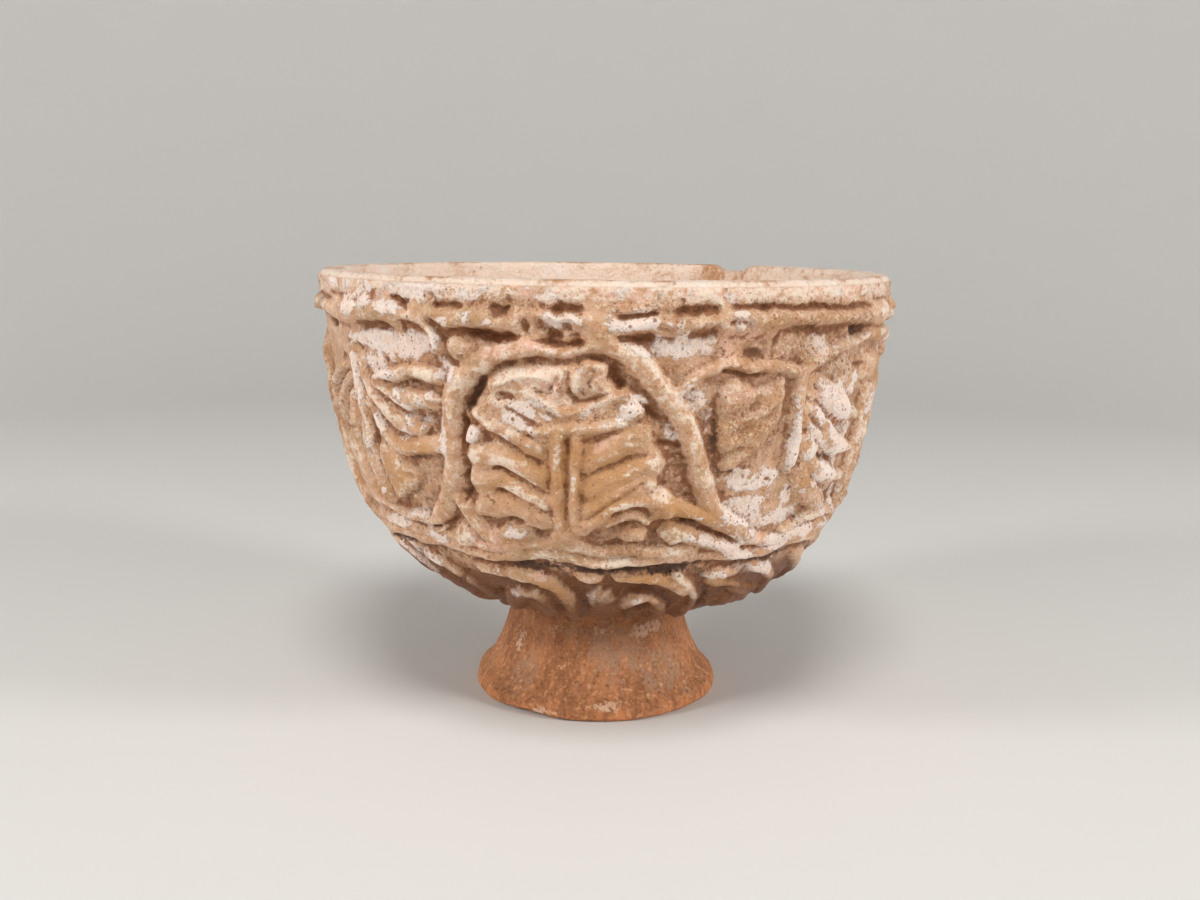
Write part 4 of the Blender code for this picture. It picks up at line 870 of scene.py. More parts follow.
    clay.strokes("rust", 0.9, 0.45, ((-3.2, 35), (1.5, 32.6), (7.6, 30.7)),
        ((-3, 43.6), (2.5, 39), (8, 35.9)), ((-20, 34.3), (-14, 36.6), (-9.8, 39)),
        ((-20.5, 38.2), (-14.5, 40), (-9.7, 43)), ((-6.4, 28), (-6.3, 43)))
    # Painted shadow along the palmette's right outline, on the arch's inner side and between the curls under
    # the palmette.
    clay.strokes("rust", 1.6, 0.6, ((9.2, 25.8), (10.6, 28.4), (12.2, 30.8), (12.8, 33.2), (12, 35.4),
        (10.4, 36.8)), ((-25, 25), (-26, 31)), ((4.6, 44.8), (4.2, 47.6)), ((9.8, 44.6), (10.8, 47.6)))
    # Dark under the arch's inner side, under the lobes, in the grooves and on the underside: mostly painted
    # shadow, with dark soil.
    clay.patches("dark", (-23.2, 20.4, 9, 2.4, 0.9, 66), (-26, 38, 9, 1.6, 0.7, 80),
        (-37, 45.4, 3, 1.2, 0.5, 30), (17.4, 44.6, 5, 1.6, 0.9, -14), (-36, 26.6, 6, 1.6, 0.9, 14),
        (-36, 20, 6, 1.6, 0.8, 8), (-36.4, 34, 6, 1.8, 0.8, 20), (22.6, 56.6, 4, 2.6, 0.8),
        (-5, 70, 3.4, 12, 0.7), (36, 73, 20, 9, 0.7), (-38, 70, 10, 7, 0.7, 30), (3, 74, 8, 6, 0.6),
        (-48, 52.8, 5, 2, 0.8), (-43, 53.6, 5, 1.6, 0.8), (31, 66, 8, 10, 0.5), (-35, 64, 3, 6, 0.5, 30),
        (20, 28.8, 5, 2, 0.8, 90))
    clay.patches("ochre", (-4, 36, 26, 20, 0.85), (45, 38, 7, 6), (-38, 31.5, 12, 5, 0.8, -12),
        (-45, 38, 9, 10, 0.8, 60), (-17, 38, 14, 12, 0.6), (16, 42.6, 14, 5, 1, -10),
        (-12, 61.6, 10, 5, 1, -40), (10, 57.6, 12, 3, 0.9, -8), (-52, 43, 8, 4, 0.9), (27, 28, 10, 8, 0.6),
        (14, 68, 8, 9, 0.8), (22, 66, 6, 10, 0.7, -60), (30, 63, 12, 8, 1, -20), (38, 70, 16, 10, 1, -20),
        (-10, 66, 8, 12, 0.9), (12, 72, 14, 10, 0.9))
    clay.patches("pink", (-15, 12, 14, 4, 1, 14), (-10, 18, 9, 6), (-12, 21, 14, 6, 0.6), (22, 10.6, 8, 5),
        (46, 21.6, 11, 4, 1, -20), (-58, 45, 14, 8, 0.4), (-24, 50, 12, 6, 0.8), (25, 20, 10, 4, 0.8),
        (36, 50, 10, 5, 0.7), (-5, 12.6, 6, 2, 0.8), (14, 33.6, 9, 5, 0.7, -65), (26, 9.8, 9, 4, 0.8),
        (-13, 57.4, 5, 2.4, 0.8), (0, 28.6, 7, 3, 0.7, 24), (4, 37, 7, 2.4, 0.7, 26),
        (-19, 41.8, 7, 2.4, 0.7), (-17, 34, 7, 3, 0.6, -10), (-42, 24, 6, 2, 0.5, -20),
        (-56, 12, 8, 3, 0.6), (-57, 6.6, 10, 3, 0.7), (9, 13, 10, 2, 0.6, -20))
    clay.patches("grey", (-33.4, 28.6, 5, 2.4, 0.6), (-42.5, 7.4, 5, 2, 0.8, -10), (-8, 57.6, 4, 3, 0.8),
        (22, 57, 7, 3, 0.7, -20), (0.6, 67, 5, 9, 0.5), (50, 31.8, 8, 3, 0.6, -8), (57.4, 20.6, 3, 2, 0.6))


# Wear


def scatter_pits(clay, count, seed):
    """Small burst bubbles all over the wall."""
    random = np.random.default_rng(seed)
    for _ in range(count):
        across = random.uniform(0.45, 1.1)
        angle = random.uniform(0.0, 360.0)
        down = random.uniform(2.0, 80.0)
        length = across * random.uniform(1.0, 2.0)
        tilt = random.uniform(-40.0, 40.0)
        depth = random.uniform(0.15, 0.4)
        clay.pits(depth, (angle, down, length, across, tilt), amount=random.uniform(0.3, 1.0))


# Stains of the hidden sides: name, size of the patches, and how far they spread
HIDDEN_STAINS = (("pale", 13.0, 0.15), ("cream", 10.0, 0.1), ("ochre", 9.0, 0.1), ("pink", 12.0, 0.0),
                 ("grain", 9.0, 0.25), ("rust", 4.0, -0.35), ("grey", 8.0, -0.5))

# Dirt above and below the roll, as (down the sheet, seed)
ROLL_DIRT = ((4.4, 73), (9.4, 74))

# Stains that are broken up by noise, with the size of it
BROKEN_STAINS = (("cream", 3.5), ("ochre", 4.0), ("pink", 4.0), ("grain", 3.0), ("grey", 3.0))


def worn(clay, points):
    """The carving's heights with wear, crusts and pits, and its stains and painted shade as shares from 0 to
    1.
    """
    shape = clay.height.shape
    flat = points.reshape(-1, 3)
    stains = dict(clay.stains)

    def field(size, seed, layers=3):
        return rough_noise(flat, size * MM, seed, layers).reshape(shape)

    def band(down, spread):
        """1 along a line round the cup, fading over the spread."""
        return np.exp(-(((clay.downs - down) / spread) ** 2))[:, None]

    def add(name, amount):
        stains[name] = np.maximum(stains[name], amount)

    hidden = 1.0 - smooth_step((HIDDEN_FROM - np.abs(round_from(clay.angles, 0.0))) / HIDDEN_FADE)[None, :]
    for number, (name, size, spread_by) in enumerate(HIDDEN_STAINS):
        add(name, hidden * smooth_step(1.1 * field(size, 40 + number, 2) + spread_by))
    lip = smooth_step((LIP_BAND_BOTTOM + 1.0 - clay.downs) / 2.0)[:, None]
    add("cream", 0.95 * lip)
    add("pink", 0.9 * lip)
    add("pale", lip * smooth_step(0.5 + 0.9 * field(6.0, 71)) * 0.6)
    for down, seed in ROLL_DIRT:
        add("rust", band(down, 1.2) * smooth_step(1.6 * field(5.0, seed) - 0.2))
    add("pale", band(MOULDING_MIDDLE, 1.8) * smooth_step(1.5 * field(4.0, 75) - 0.1) * 0.8)
    # Painted shadow in the groove under the lower band.
    groove_shade = band(LOWER_GROOVE, 1.8)
    add("rust", 0.9 * groove_shade)
    add("dark", groove_shade * smooth_step(0.6 + field(8.0, 72, 1)) * 0.85)
    for name in ("rust", "dark", "grey"):
        stains[name] = softened(stains[name], 3)
    # Painted shade, darker down the underside.
    shade = SHADE_STRENGTH * smooth_step((clay.downs - SHADE_START) / SHADE_RUN)
    stains["shade"] = np.repeat(shade[:, None], shape[1], axis=1)
    stains["pale"] = smooth_step((stains["pale"] + 0.4 * field(3.0, 4) - 0.1) / 0.9)
    for name, size in BROKEN_STAINS:
        stains[name] = np.clip(stains[name] * (1.0 + 0.5 * field(size, 60 + int(size))), 0.0, 1.0)

    height = softened(clay.height, SOFTENING_PASSES) * (1.0 + 0.2 * field(5.0, 1))
    bumps = 0.07 + 0.12 * stains["grain"] + 0.10 * stains["rust"]
    height = height + MM * (0.14 * field(6.0, 2, 3) + bumps * field(1.2, 3, 2))
    crust = smooth_step((stains["pale"] - 0.4) / 0.16) * (1.0 + 0.4 * field(2.2, 7, 2))
    height = height + CRUST_THICKNESS * crust * (1.0 - 0.8 * stains["rust"])
    return height, stains


# Cup


def place(radius, height, angle):
    """Grid points as (x, y, z), with the foot set off the middle and one side of the bowl hanging."""
    in_foot = smooth_step((foot_height() + 0.5 * NECK_BLEND - height) / NECK_BLEND)
    in_bowl = smooth_step((height - foot_height()) / NECK_BLEND)
    x = radius * np.sin(angle)
    off_level = (height - foot_height() - SAG_RISE) / SAG_SPREAD
    hang = BOTTOM_SAG * (x / RIM_RADIUS) * np.exp(-(off_level**2)) * in_bowl
    return np.stack([x + FOOT_SHIFT * in_foot, -radius * np.cos(angle), height - hang], axis=-1)


# Marks on the foot, as (angle, height, width, height of the mark, strength)
FOOT_SPLASHES = ((5, 17.6, 5, 1.6, 0.9), (30, 17.2, 6, 3.2, 1), (40, 17.8, 7, 3.6, 0.9),
                 (-52, 13.5, 4, 5, 0.8), (-28, 17.5, 7, 2, 0.5), (6, 3.4, 6, 2, 0.8), (-24, 1.6, 5, 1.6, 0.8),
                 (160, 15, 9, 4, 0.8), (215, 8, 6, 6, 0.7))
FOOT_GREYS = ((14, 14, 16, 9, 0.9), (-8, 17, 12, 4, 0.7), (-43, 7.5, 6, 10, 0.9), (28, 1.8, 12, 1.6, 0.8),
              (52, 4, 6, 4, 0.6), (38, 9, 14, 11, 0.9), (110, 10, 12, 9, 0.8), (185, 13, 18, 6, 0.8),
              (260, 9, 12, 9, 0.8))
MARKED_RADIUS = 23.0


def foot_marks(marks, angles, height):
    """How strongly the marks cover each point of the foot."""
    total = np.zeros(height.shape)
    for angle, level, width, tall, strength in marks:
        off = round_from(angles, angle)[None, :] * math.radians(1.0) * MARKED_RADIUS
        share = np.hypot(off / (0.5 * width), (height / MM - level) / (0.5 * tall))
        total = np.maximum(total, strength * np.clip(1.6 * (1.3 - share), 0.0, 1.0))
    return total


def kept_inside(points):
    """The points, none of them outside the box of the solid that this body replaces."""
    low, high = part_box("cup")
    margin = 0.02 * MM
    for axis in range(3):
        points[..., axis] = np.clip(points[..., axis], low[axis] + margin, high[axis] - margin)
    return points


def carved_sheet(wall, angles, points):
    """The carving, drawn on a sheet with a row for each row of the wall."""
    shape = points.shape[:2]
    flat = points.reshape(-1, 3)

    def bend(seed):
        bends = 0.5 * noise(flat, 5.0 * MM, seed) + 0.22 * noise(flat, 1.8 * MM, seed + 1)
        return MM * bends.reshape(shape)

    downs = np.linspace(SHEET_START, SHEET_LENGTH, CARVED_ROWS)
    stretch = float(np.hypot(*np.diff(wall, axis=0).T).sum()) / (SHEET_LENGTH - SHEET_START)
    ragged = (noise(flat, 1.2 * MM, 35) + 0.7 * noise(flat, 0.7 * MM, 37)).reshape(shape)
    clay = Carving(angles, downs, wall[:, 0], stretch, (bend(31), bend(33)), ragged)
    carve_all(clay)
    scatter_pits(clay, BURST_BUBBLES, 11)
    stain_panels(clay)
    return clay


def uneven(flat, on_foot):
    """Unevenness of the whole pot, and the streaks that run up its foot."""
    relief = 0.10 * MM * rough_noise(flat, 9.0 * MM, 21, 2) + 0.04 * MM * rough_noise(flat, 1.8 * MM, 22, 2)
    squeezed = flat * np.array([1.0, 1.0, 0.22])
    streaks = 0.16 * rough_noise(squeezed, 3.2 * MM, 23, 2) + 0.35 * noise(squeezed, 13.0 * MM, 24)
    return relief + on_foot * MM * streaks


def off_chip(angles):
    """How far angles are from the middle of the chip, 1 at its ends."""
    return (angles - CHIP_ANGLE) * math.radians(1.0) * RIM_RADIUS / (0.5 * CHIP_WIDTH)


def with_damage(height, angles, zone):
    """The heights with the foot's lower edge lifted on one side and a chip in the lip."""
    lift = FOOT_LIFT * np.exp(-((round_from(angles, FOOT_LIFT_ANGLE) / FOOT_LIFT_SPREAD) ** 2))
    near_edge = 1.0 - smooth_step(height / FOOT_LIFT_HEIGHT)
    height = height + lift[None, :] * near_edge * np.isin(zone, ("foot", "edge", "hollow"))[:, None]
    bite = CHIP_DEPTH * smooth_step(1.6 * (1.0 - np.abs(off_chip(angles))))
    return height - bite[None, :] * smooth_step((height - CUP_HEIGHT + CHIP_FADE) / CHIP_FADE)


def material_values(flat, height, angles, zone, raised, stains):
    """What the material reads at each point, three values to a name."""
    on_wall = zone == "wall"
    on_foot = np.isin(zone, ("foot", "edge"))[:, None]
    lining = np.isin(zone, ("inside", "lip"))[:, None]

    def on_the_wall(values):
        everywhere = np.zeros(height.shape)
        everywhere[on_wall] = values
        return everywhere

    # Hollows and raised edges. The hollows darken the colour as soil and painted shade, the edges lighten it
    # as pale wear and painted highlight.
    around = softened(raised, 14)
    wide = softened(around, 90)
    sunk = 0.65 * np.clip((around - raised) / (0.2 * MM), 0.0, 1.0)
    sunk += 0.3 * np.clip((wide - raised) / (0.6 * MM), 0.0, 1.0)
    edge = np.clip((raised - around) / (0.2 * MM), 0.0, 1.0)
    marks = {name: on_the_wall(stains[name]) for name in STAINS_AND_SHADE}
    # Painted shade in wide hollows of the wall and up the neck of the foot.
    marks["shade"] += on_the_wall(0.55 * np.clip((wide - raised) / (0.7 * MM), 0.0, 1.0))
    marks["shade"] += 0.55 * smooth_step((height / MM - 8.0) / 9.0) * on_foot
    marks["grey"] += foot_marks(FOOT_GREYS, angles, height) * on_foot
    near_chip = 0.9 * np.exp(-((off_chip(angles) / 2.0) ** 2))[None, :]
    marks["rust"] += near_chip * smooth_step((height / CUP_HEIGHT - 0.86) / 0.12) * lining
    crest = smooth_step((height - CUP_HEIGHT) / (0.3 * MM) + 1.6) * lining
    marks["rust"] += 0.8 * crest * smooth_step(0.7 + rough_noise(flat, 7.0 * MM, 27, 2).reshape(height.shape))
    foot = np.ones(height.shape) * (~on_wall[:, None] & ~lining)
    inside = np.ones(height.shape) * lining
    splash = foot_marks(FOOT_SPLASHES, angles, height) * on_foot
    marks.update(lift=on_the_wall(raised / ARCH_HEIGHT), hollow=on_the_wall(sunk), edge=on_the_wall(edge))
    marks.update(foot=foot, inside=inside, splash=splash)
    return {label: [marks[name] for name in names] for label, names in CARRIED.items()}


def grid_points():
    """All rings of the cup, with the values that its material reads."""
    rows, zone = section()
    angles = np.arange(COLUMNS) * 360.0 / COLUMNS
    turned = np.radians(angles)[None, :]
    radius = np.repeat(rows[:, 0][:, None], COLUMNS, axis=1)
    height = np.repeat(rows[:, 1][:, None], COLUMNS, axis=1)
    plain = place(radius, height, turned)
    flat = plain.reshape(-1, 3)
    on_wall = zone == "wall"
    raised, stains = worn(carved_sheet(rows[on_wall], angles, plain[on_wall]), plain[on_wall])
    relief = uneven(flat, np.repeat(np.isin(zone, ("foot", "edge")), COLUMNS)).reshape(radius.shape)
    relief[on_wall] = raised
    near_ends = np.minimum(np.arange(len(rows)), np.arange(len(rows))[::-1]) / 12.0
    relief *= smooth_step(near_ends)[:, None]
    relief[zone == "edge"] *= 0.6
    relief[zone == "hollow"] *= 0.5
    along = directions(rows)
    radius = radius + relief * -along[:, 1][:, None]
    height = height + relief * along[:, 0][:, None]
    low_rows = np.isin(zone, ("edge", "hollow"))
    height[low_rows] = np.maximum(height[low_rows], 0.0)
    height = with_damage(height, angles, zone)
    values = material_values(flat, height, angles, zone, raised, stains)
    values = {name: np.stack(parts, axis=-1)[1:-1] for name, parts in values.items()}
    return kept_inside(place(radius, height, turned))[1:-1], values


def closed_mesh(name, points, values):
    """A closed mesh of rings joined by quads, with a point at the middle of the first and last ring."""
    rings, columns = points.shape[:2]
    number = np.arange(rings * columns).reshape(rings, columns)
    beside = np.roll(number, -1, axis=1)
    quads = np.stack([number[:-1], number[1:], beside[1:], beside[:-1]], axis=-1).reshape(-1)
    first = rings * columns
    top = np.stack([np.full(columns, first), number[0], beside[0]], axis=-1).reshape(-1)
    bottom = np.stack([np.full(columns, first + 1), beside[-1], number[-1]], axis=-1).reshape(-1)
    corners = np.concatenate([quads, top, bottom]).astype(np.int32)
    sides = np.concatenate([np.full(len(quads) // 4, 4), np.full(2 * columns, 3)])
    starts = np.concatenate([[0], np.cumsum(sides)[:-1]]).astype(np.int32)
    middles = [points[0].mean(axis=0), points[-1].mean(axis=0)]
    places = np.concatenate([points.reshape(-1, 3), middles])
    mesh = bpy.data.meshes.new(name)
    mesh.vertices.add(len(places))
    mesh.vertices.foreach_set("co", places.reshape(-1).astype(np.float32))
    mesh.loops.add(len(corners))
    mesh.loops.foreach_set("vertex_index", corners)
    mesh.polygons.add(len(sides))
    mesh.polygons.foreach_set("loop_start", starts)
    mesh.update(calc_edges=True)
    for label, grid in values.items():
        ends = [grid[0].mean(axis=0), grid[-1].mean(axis=0)]
        data = np.concatenate([grid.reshape(-1, 3), ends]).astype(np.float32)
        attribute = mesh.attributes.new(label, "FLOAT_VECTOR", "POINT")
        attribute.data.foreach_set("vector", data.reshape(-1))
    mesh.validate()
    return mesh


# Material


class Nodes:
    """Short calls for building a material out of nodes. Its fields are named values to weigh and add."""

    def __init__(self, material):
        material.use_nodes = True
        self.tree = material.node_tree
        self.shader = self.tree.nodes["Principled BSDF"]
        coordinates = self.tree.nodes.new("ShaderNodeTexCoord").outputs["Object"]
        self.place = self.vector("SCALE", coordinates, scale=1.0 / MM)
        self.fields = {}

    def link(self, value, socket):
        if isinstance(value, bpy.types.NodeSocket):
            self.tree.links.new(value, socket)
        else:
            socket.default_value = value

    def vector(self, operation, *inputs, scale=None):
        node = self.tree.nodes.new("ShaderNodeVectorMath")
        node.operation = operation
        for number, value in enumerate(inputs):
            self.link(value, node.inputs[number])
        if scale is not None:
            self.link(scale, node.inputs["Scale"])
        return node.outputs["Vector"]

    def math(self, operation, *inputs):
        node = self.tree.nodes.new("ShaderNodeMath")
        node.operation = operation
        for number, value in enumerate(inputs):
            self.link(value, node.inputs[number])
        return node.outputs[0]

    def times(self, value, other):
        return self.math("MULTIPLY", value, other)

    def sum(self, **weights):
        """Fields added up, each named with its weight."""
        total = None
        for name, weight in weights.items():
            if total is None:
                total = self.times(self.fields[name], weight)
            else:
                total = self.math("MULTIPLY_ADD", self.fields[name], weight, total)
        return total

    def step(self, value, low, high):
        """Smooth rise from 0 at low to 1 at high."""
        node = self.tree.nodes.new("ShaderNodeMapRange")
        node.interpolation_type = "SMOOTHSTEP"
        self.link(value, node.inputs["Value"])
        node.inputs["From Min"].default_value = low
        node.inputs["From Max"].default_value = high
        return node.outputs["Result"]

    def swing(self, size, place=None, detail=5.0):
        """Noise with patches of the given size in millimetres, mostly between -1 and 1."""
        node = self.tree.nodes.new("ShaderNodeTexNoise")
        self.link(self.place if place is None else place, node.inputs["Vector"])
        node.inputs["Scale"].default_value = 1.0 / size
        node.inputs["Detail"].default_value = detail
        node.inputs["Roughness"].default_value = 0.62
        return self.math("MULTIPLY_ADD", node.outputs["Fac"], 5.0, -2.5)

    def spots(self, size, place=None):
        """Distance from the nearest of many scattered spots."""
        node = self.tree.nodes.new("ShaderNodeTexVoronoi")
        self.link(self.place if place is None else place, node.inputs["Vector"])
        node.inputs["Scale"].default_value = 1.0 / size
        return node.outputs["Distance"]

    def moved(self, far):
        """The same place in another part of the pattern."""
        return self.vector("ADD", self.place, (far, far, far))

    def stretched(self, upward):
        """The place with its height squeezed, so that patterns are drawn out upward."""
        return self.vector("MULTIPLY", self.place, (1.0, 1.0, upward))

    def mix(self, share, under, over):
        node = self.tree.nodes.new("ShaderNodeMix")
        node.data_type = "RGBA"
        self.link(share, node.inputs["Factor"])
        for name, tone in (("A", under), ("B", over)):
            socket = next(item for item in node.inputs if item.name == name and item.type == "RGBA")
            self.link(tone, socket)
        return next(item for item in node.outputs if item.type == "RGBA")

    def blend(self, under, over, low, high, **weights):
        """From one colour, where the weighed fields are low, to the other, where they are high."""
        return self.mix(self.step(self.sum(**weights), low, high), under, over)

    def cover(self, under, over, low, high, most, **weights):
        """One colour over another, from none where the weighed fields are low to most where high."""
        return self.mix(self.times(self.step(self.sum(**weights), low, high), most), under, over)

    def attribute(self, name):
        node = self.tree.nodes.new("ShaderNodeAttribute")
        node.attribute_name = name
        return self.parts(node.outputs["Vector"])

    def parts(self, vector):
        """The three parts of a vector."""
        node = self.tree.nodes.new("ShaderNodeSeparateXYZ")
        self.tree.links.new(vector, node.inputs[0])
        return node.outputs

    def bump(self, height, depth, under=None):
        node = self.tree.nodes.new("ShaderNodeBump")
        node.inputs["Strength"].default_value = 1.0
        node.inputs["Distance"].default_value = depth
        self.link(height, node.inputs["Height"])
        if under is not None:
            self.link(under, node.inputs["Normal"])
        return node.outputs["Normal"]


def colour(red, green, blue):
    """A colour given as screen values from 0 to 255, for a shader."""
    def linear(value):
        share = value / 255.0
        return share / 12.92 if share <= 0.04045 else ((share + 0.055) / 1.055) ** 2.4
    return (linear(red), linear(green), linear(blue), 1.0)


PEACH = colour(242, 202, 172)
TAN = colour(208, 156, 116)
OLIVE = colour(184, 144, 94)
HONEY = colour(206, 150, 96)
CREAM = colour(254, 234, 214)
CRUST = colour(252, 238, 232)
CRUST_WARM = colour(252, 226, 208)
CRUST_GREY = colour(218, 198, 190)
PINK_CLAY = colour(240, 190, 166)
OCHRE_FLECK = colour(192, 130, 76)
YELLOW_FLECK = colour(250, 228, 182)
RUST = colour(166, 106, 66)
UMBER = colour(110, 64, 32)
UNDERSIDE_SHADE = colour(112, 60, 20)
BROWN = colour(64, 41, 30)
BLACK_BROWN = colour(30, 22, 18)
GREY = colour(150, 128, 112)
TERRACOTTA = colour(212, 143, 95)
TERRACOTTA_DARK = colour(164, 106, 70)
TERRACOTTA_LIGHT = colour(238, 172, 124)
TERRACOTTA_GREY = colour(188, 148, 120)
ORANGE = colour(224, 142, 88)

# Depths of the material's own unevenness, in metres
COARSE_BUMP = 0.00024
FINE_BUMP = 0.00005


def name_fields(nodes):
    """The values that the mesh carries and the noise that breaks them up, by name. Sizes in millimetres."""
    for label, names in CARRIED.items():
        nodes.fields.update(zip(names, nodes.attribute(label)))
    nodes.fields.update(
        broad=nodes.swing(12.0),
        middle=nodes.swing(3.4),
        small=nodes.swing(1.2),
        other=nodes.swing(0.8, nodes.moved(40.0)),
        fine=nodes.swing(0.35, detail=2.0),
        yellow_spots=nodes.spots(0.9),
        cream_spots=nodes.spots(0.9, nodes.moved(20.0)),
        brown_spots=nodes.spots(1.0, nodes.moved(90.0)),
        earth_spots=nodes.spots(1.5),
        hole_spots=nodes.spots(1.1, nodes.moved(70.0)),
        streaks=nodes.swing(1.8, nodes.stretched(0.2)),
        facets=nodes.swing(6.0, nodes.stretched(0.3)),
        ground=nodes.step(nodes.parts(nodes.place)[2], 5.0, 1.0),
    )
    nodes.fields["crusted"] = nodes.step(nodes.sum(pale=1.0, small=0.32, other=0.26, middle=0.2), 0.42, 0.57)
    holes = nodes.sum(hole_spots=-1.0, middle=0.16, broad=0.08, rust=0.12, dark=0.16)
    nodes.fields["holes"] = nodes.step(holes, 0.03, 0.08)


def glaze(nodes):
    """Glaze from peach to tan, with honey, pink and cream where it lies thick or thin, the cream on raised
    edges partly pale wear, partly painted highlight.
    """
    skin = nodes.blend(TAN, PEACH, -0.7, 0.7, middle=0.6, small=0.4)
    skin = nodes.cover(skin, UMBER, 0.35, 1.0, 0.5, other=0.7, small=0.4, fine=0.4)
    skin = nodes.cover(skin, OLIVE, 0.2, 1.1, 0.5, broad=1.0, lift=0.4, middle=0.3)
    skin = nodes.cover(skin, HONEY, 0.2, 0.8, 0.85, ochre=1.0, middle=0.4, small=0.25)
    skin = nodes.cover(skin, PINK_CLAY, 0.4, 0.9, 0.8, pink=1.0, middle=0.5, small=0.3)
    return nodes.cover(skin, CREAM, 0.3, 0.95, 0.9, cream=0.75, edge=0.4, small=0.4, middle=0.3, other=0.3,
                       fine=0.15, ochre=-0.25)


def crust_over(nodes, skin):
    """Pale crust with ragged edges, greyer in its hollows as painted shade and in random patches."""
    crust = nodes.blend(CRUST_WARM, CRUST, -0.6, 0.6, middle=0.6, small=0.5)
    crust = nodes.cover(crust, CRUST_GREY, 0.2, 1.0, 0.8, hollow=0.7, other=0.6, middle=0.4)
    crust = nodes.cover(crust, TAN, 0.4, 0.9, 0.6, other=-0.6, small=0.6, fine=0.3)
    return nodes.mix(nodes.times(nodes.fields["crusted"], 0.92), skin, crust)


def grain_over(nodes, skin):
    """A grainy coat of ochre and yellow flecks, and small specks, cream or brown."""
    flecks = nodes.blend(OCHRE_FLECK, PEACH, -0.5, 0.4, other=0.6, middle=0.4)
    flecks = nodes.cover(flecks, YELLOW_FLECK, -0.3, -0.1, 0.9, yellow_spots=-1.0, other=0.3, small=0.15)
    flecks = nodes.cover(flecks, RUST, 0.4, 0.75, 0.8, small=-1.0, fine=0.3)
    skin = nodes.cover(skin, flecks, 0.35, 0.85, 0.8, grain=1.0, middle=0.5, small=0.4)
    skin = nodes.cover(skin, CREAM, -0.2, 0.0, 0.7, cream_spots=-1.0, other=0.16, middle=0.2, hollow=0.16,
                       ochre=-0.1)
    return nodes.cover(skin, RUST, -0.18, 0.0, 0.75, brown_spots=-1.0, other=0.16, middle=-0.2, grain=0.1)


def soil_and_shade_over(nodes, skin):
    """Soil and painted shade in the hollows, painted shade on the underside, and burst bubbles."""
    skin = nodes.cover(skin, GREY, 0.4, 0.9, 0.75, grey=1.0, middle=0.4, small=0.3)
    # Painted shade on the underside and in wide hollows, less on raised parts.
    skin = nodes.cover(skin, UNDERSIDE_SHADE, 0.0, 0.9, 0.93, shade=1.0, small=0.2, other=0.15, lift=-0.5,
                       edge=-0.1)
    # Soil and painted shade in the hollows and in the rust and dark marks.
    earth_and_shade = nodes.blend(UMBER, RUST, -0.6, 0.5, other=0.6, middle=0.5)
    skin = nodes.cover(skin, earth_and_shade, 0.45, 1.15, 0.9, rust=0.7, hollow=0.8, small=0.4, other=0.4, middle=0.3,
                       ochre=-0.15)
    skin = nodes.cover(skin, BROWN, 0.65, 1.6, 0.92, dark=0.9, rust=0.35, hollow=0.5, other=0.2, small=0.25,
                       middle=0.2)
    skin = nodes.cover(skin, earth_and_shade, 0.0, 0.08, 0.8, earth_spots=-1.0, small=0.16, middle=0.2, pale=0.16,
                       grain=0.06)
    return nodes.mix(nodes.times(nodes.fields["holes"], 0.85), skin, BLACK_BROWN)


def bare_foot(nodes):
    """Streaked terracotta of the foot, with grey, orange and pale places, and painted shade up at its neck.
    """
    biscuit = nodes.blend(TERRACOTTA_DARK, TERRACOTTA, -0.9, 0.8, streaks=0.5, facets=0.7, other=0.5,
                          small=0.3)
    biscuit = nodes.cover(biscuit, ORANGE, 0.3, 1.1, 0.8, ground=0.7, facets=0.4, middle=0.4, small=0.4)
    biscuit = nodes.cover(biscuit, TERRACOTTA_GREY, 0.1, 1.1, 0.85, grey=0.8, streaks=-0.5, facets=0.45,
                          small=0.4, other=0.3, ground=-0.4)
    biscuit = nodes.cover(biscuit, TERRACOTTA_LIGHT, 0.3, 1.0, 0.9, other=0.7, small=0.5, streaks=0.4,
                          fine=0.3)
    biscuit = nodes.cover(biscuit, PEACH, 0.4, 1.1, 0.85, splash=1.1, small=0.6, other=0.6)
    biscuit = nodes.cover(biscuit, UMBER, 0.4, 1.1, 0.85, other=-0.7, fine=0.5, streaks=-0.4)
    biscuit = nodes.cover(biscuit, BROWN, -0.06, 0.0, 0.85, hole_spots=-1.0, middle=0.16, streaks=-0.06)
    # Painted shade up the neck of the foot.
    return nodes.cover(biscuit, UMBER, 0.0, 1.0, 0.8, shade=1.0, small=0.2)


def pale_lining(nodes):
    """Pale lining of the bowl with brown patches."""
    lining = nodes.blend(CRUST_WARM, CREAM, -0.6, 0.6, middle=0.6, small=0.5)
    lining = nodes.cover(lining, CRUST, 0.3, 1.0, 0.9, broad=-0.7, middle=0.5, other=0.4)
    patches = {"rust": 0.8, "broad": 0.7, "middle": 0.5, "small": 0.5, "other": 0.3}
    lining = nodes.cover(lining, TAN, -0.2, 1.0, 0.65, **patches)
    return nodes.cover(lining, OCHRE_FLECK, 0.45, 1.5, 0.85, **patches)


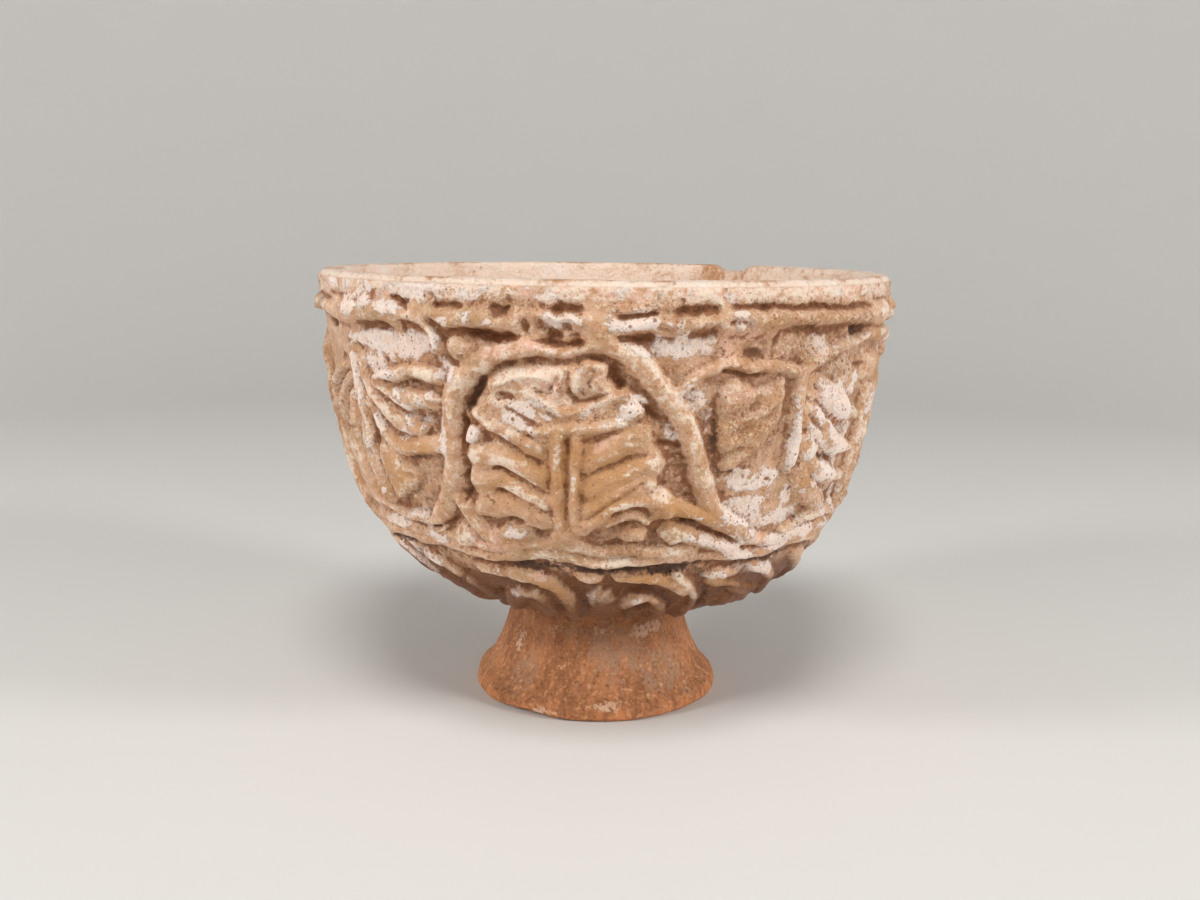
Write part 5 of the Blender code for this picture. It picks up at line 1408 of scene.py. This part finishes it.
def pottery():
    material = bpy.data.materials.new("worn glazed pottery")
    nodes = Nodes(material)
    name_fields(nodes)
    fields = nodes.fields
    skin = soil_and_shade_over(nodes, grain_over(nodes, crust_over(nodes, glaze(nodes))))
    skin = nodes.blend(skin, bare_foot(nodes), 0.4, 0.6, foot=1.0, small=0.15)
    skin = nodes.mix(fields["inside"], skin, pale_lining(nodes))
    nodes.link(skin, nodes.shader.inputs["Base Color"])
    rough = nodes.sum(crusted=0.38, foot=0.45, grain=0.15, middle=0.06, small=0.05)
    rough = nodes.math("MINIMUM", nodes.math("ADD", rough, 0.36), 0.92)
    nodes.link(rough, nodes.shader.inputs["Roughness"])
    nodes.shader.inputs["Specular IOR Level"].default_value = 0.4
    coarse = nodes.sum(small=0.5, other=0.35, middle=0.3, crusted=0.4, holes=-1.0)
    grainy = nodes.times(fields["other"], nodes.times(fields["grain"], 0.5))
    normal = nodes.bump(nodes.math("ADD", coarse, grainy), COARSE_BUMP, nodes.bump(fields["fine"], FINE_BUMP))
    nodes.link(normal, nodes.shader.inputs["Normal"])
    return material


def make_cup():
    points, values = grid_points()
    mesh = closed_mesh("carved_cup", points, values)
    cup = bpy.data.objects.new("carved_cup", mesh)
    bpy.context.scene.collection.objects.link(cup)
    thin = cup.modifiers.new("fewer faces", "DECIMATE")
    thin.ratio = MOST_TRIANGLES / (2 * len(mesh.polygons))
    reduced = bpy.data.meshes.new_from_object(cup.evaluated_get(bpy.context.evaluated_depsgraph_get()))
    cup.modifiers.clear()
    cup.data = reduced
    bpy.data.meshes.remove(mesh)
    reduced.name = "carved_cup"
    reduced.shade_smooth()
    reduced.materials.append(pottery())
    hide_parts("cup")
    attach(cup, "root")


# Stage


def make_floor():
    """A pale seamless floor that curves up all round like a wide dish."""
    rings = [(FLOOR_FLAT_RADIUS, 0.0)]
    for bend in np.radians(np.arange(10, 91, 10)):
        rings.append((FLOOR_FLAT_RADIUS + FLOOR_BEND * math.sin(bend), FLOOR_BEND * (1.0 - math.cos(bend))))
    rings += [(FLOOR_FLAT_RADIUS + FLOOR_BEND, FLOOR_TOP)]
    turns = np.arange(FLOOR_SIDES) * 2.0 * math.pi / FLOOR_SIDES
    points = [(radius * math.cos(turn), radius * math.sin(turn), z) for radius, z in rings for turn in turns]
    points.append((0.0, 0.0, 0.0))
    faces = []
    for side in range(FLOOR_SIDES):
        beside = (side + 1) % FLOOR_SIDES
        faces.append((len(points) - 1, side, beside))
        for ring in range(len(rings) - 1):
            near = ring * FLOOR_SIDES
            far = near + FLOOR_SIDES
            faces.append((near + side, far + side, far + beside, near + beside))
    mesh = bpy.data.meshes.new("studio_floor")
    mesh.from_pydata(points, [], faces)
    mesh.shade_smooth()
    floor = bpy.data.objects.new("studio_floor", mesh)
    bpy.context.scene.collection.objects.link(floor)
    material = bpy.data.materials.new("pale floor")
    material.use_nodes = True
    shader = material.node_tree.nodes["Principled BSDF"]
    shader.inputs["Base Color"].default_value = FLOOR_COLOUR
    shader.inputs["Roughness"].default_value = FLOOR_ROUGHNESS
    mesh.materials.append(material)


def make_light(name, place, size, power):
    lamp = bpy.data.lights.new(name, "AREA")
    lamp.shape = "DISK"
    lamp.size = size
    lamp.energy = power
    lamp.color = LIGHT_TINT
    light = bpy.data.objects.new(name, lamp)
    bpy.context.scene.collection.objects.link(light)
    light.location = place
    light.rotation_euler = (light.location - LIGHT_AIM).to_track_quat("Z", "Y").to_euler()


def make_lights():
    make_light("top_softbox", (0.0, -0.36, 0.7), 0.26, 2.5)
    make_light("left_softbox", (-0.74, -0.3, 0.4), 0.2, 2.9)
    make_light("right_softbox", (0.76, -0.3, 0.38), 0.2, 3.2)
    world = bpy.data.worlds.new("soft world")
    world.use_nodes = True
    world.node_tree.nodes["Background"].inputs["Color"].default_value = SKY_TINT
    world.node_tree.nodes["Background"].inputs["Strength"].default_value = SKY_STRENGTH
    bpy.context.scene.world = world


def make_camera():
    data = bpy.data.cameras.new("camera")
    data.sensor_width = SENSOR
    data.lens = CAMERA_LENS
    data.shift_x = PICTURE_SHIFT / PHOTO_WIDTH
    data.clip_start = 0.01
    camera = bpy.data.objects.new("camera", data)
    bpy.context.scene.collection.objects.link(camera)
    place_in_metres = [part * MM for part in CAMERA_PLACE]
    turned = Matrix.Rotation(CAMERA_TURN, 4, "Z")
    tipped = Matrix.Rotation(math.radians(90.0 - CAMERA_DIP), 4, "X")
    rolled = Matrix.Rotation(math.radians(CAMERA_ROLL), 4, "Z")
    camera.matrix_world = Matrix.Translation(place_in_metres) @ turned @ tipped @ rolled
    bpy.context.scene.camera = camera


def main():
    make_cup()
    make_floor()
    make_lights()
    make_camera()
    bpy.context.scene.view_settings.view_transform = "Standard"


main()
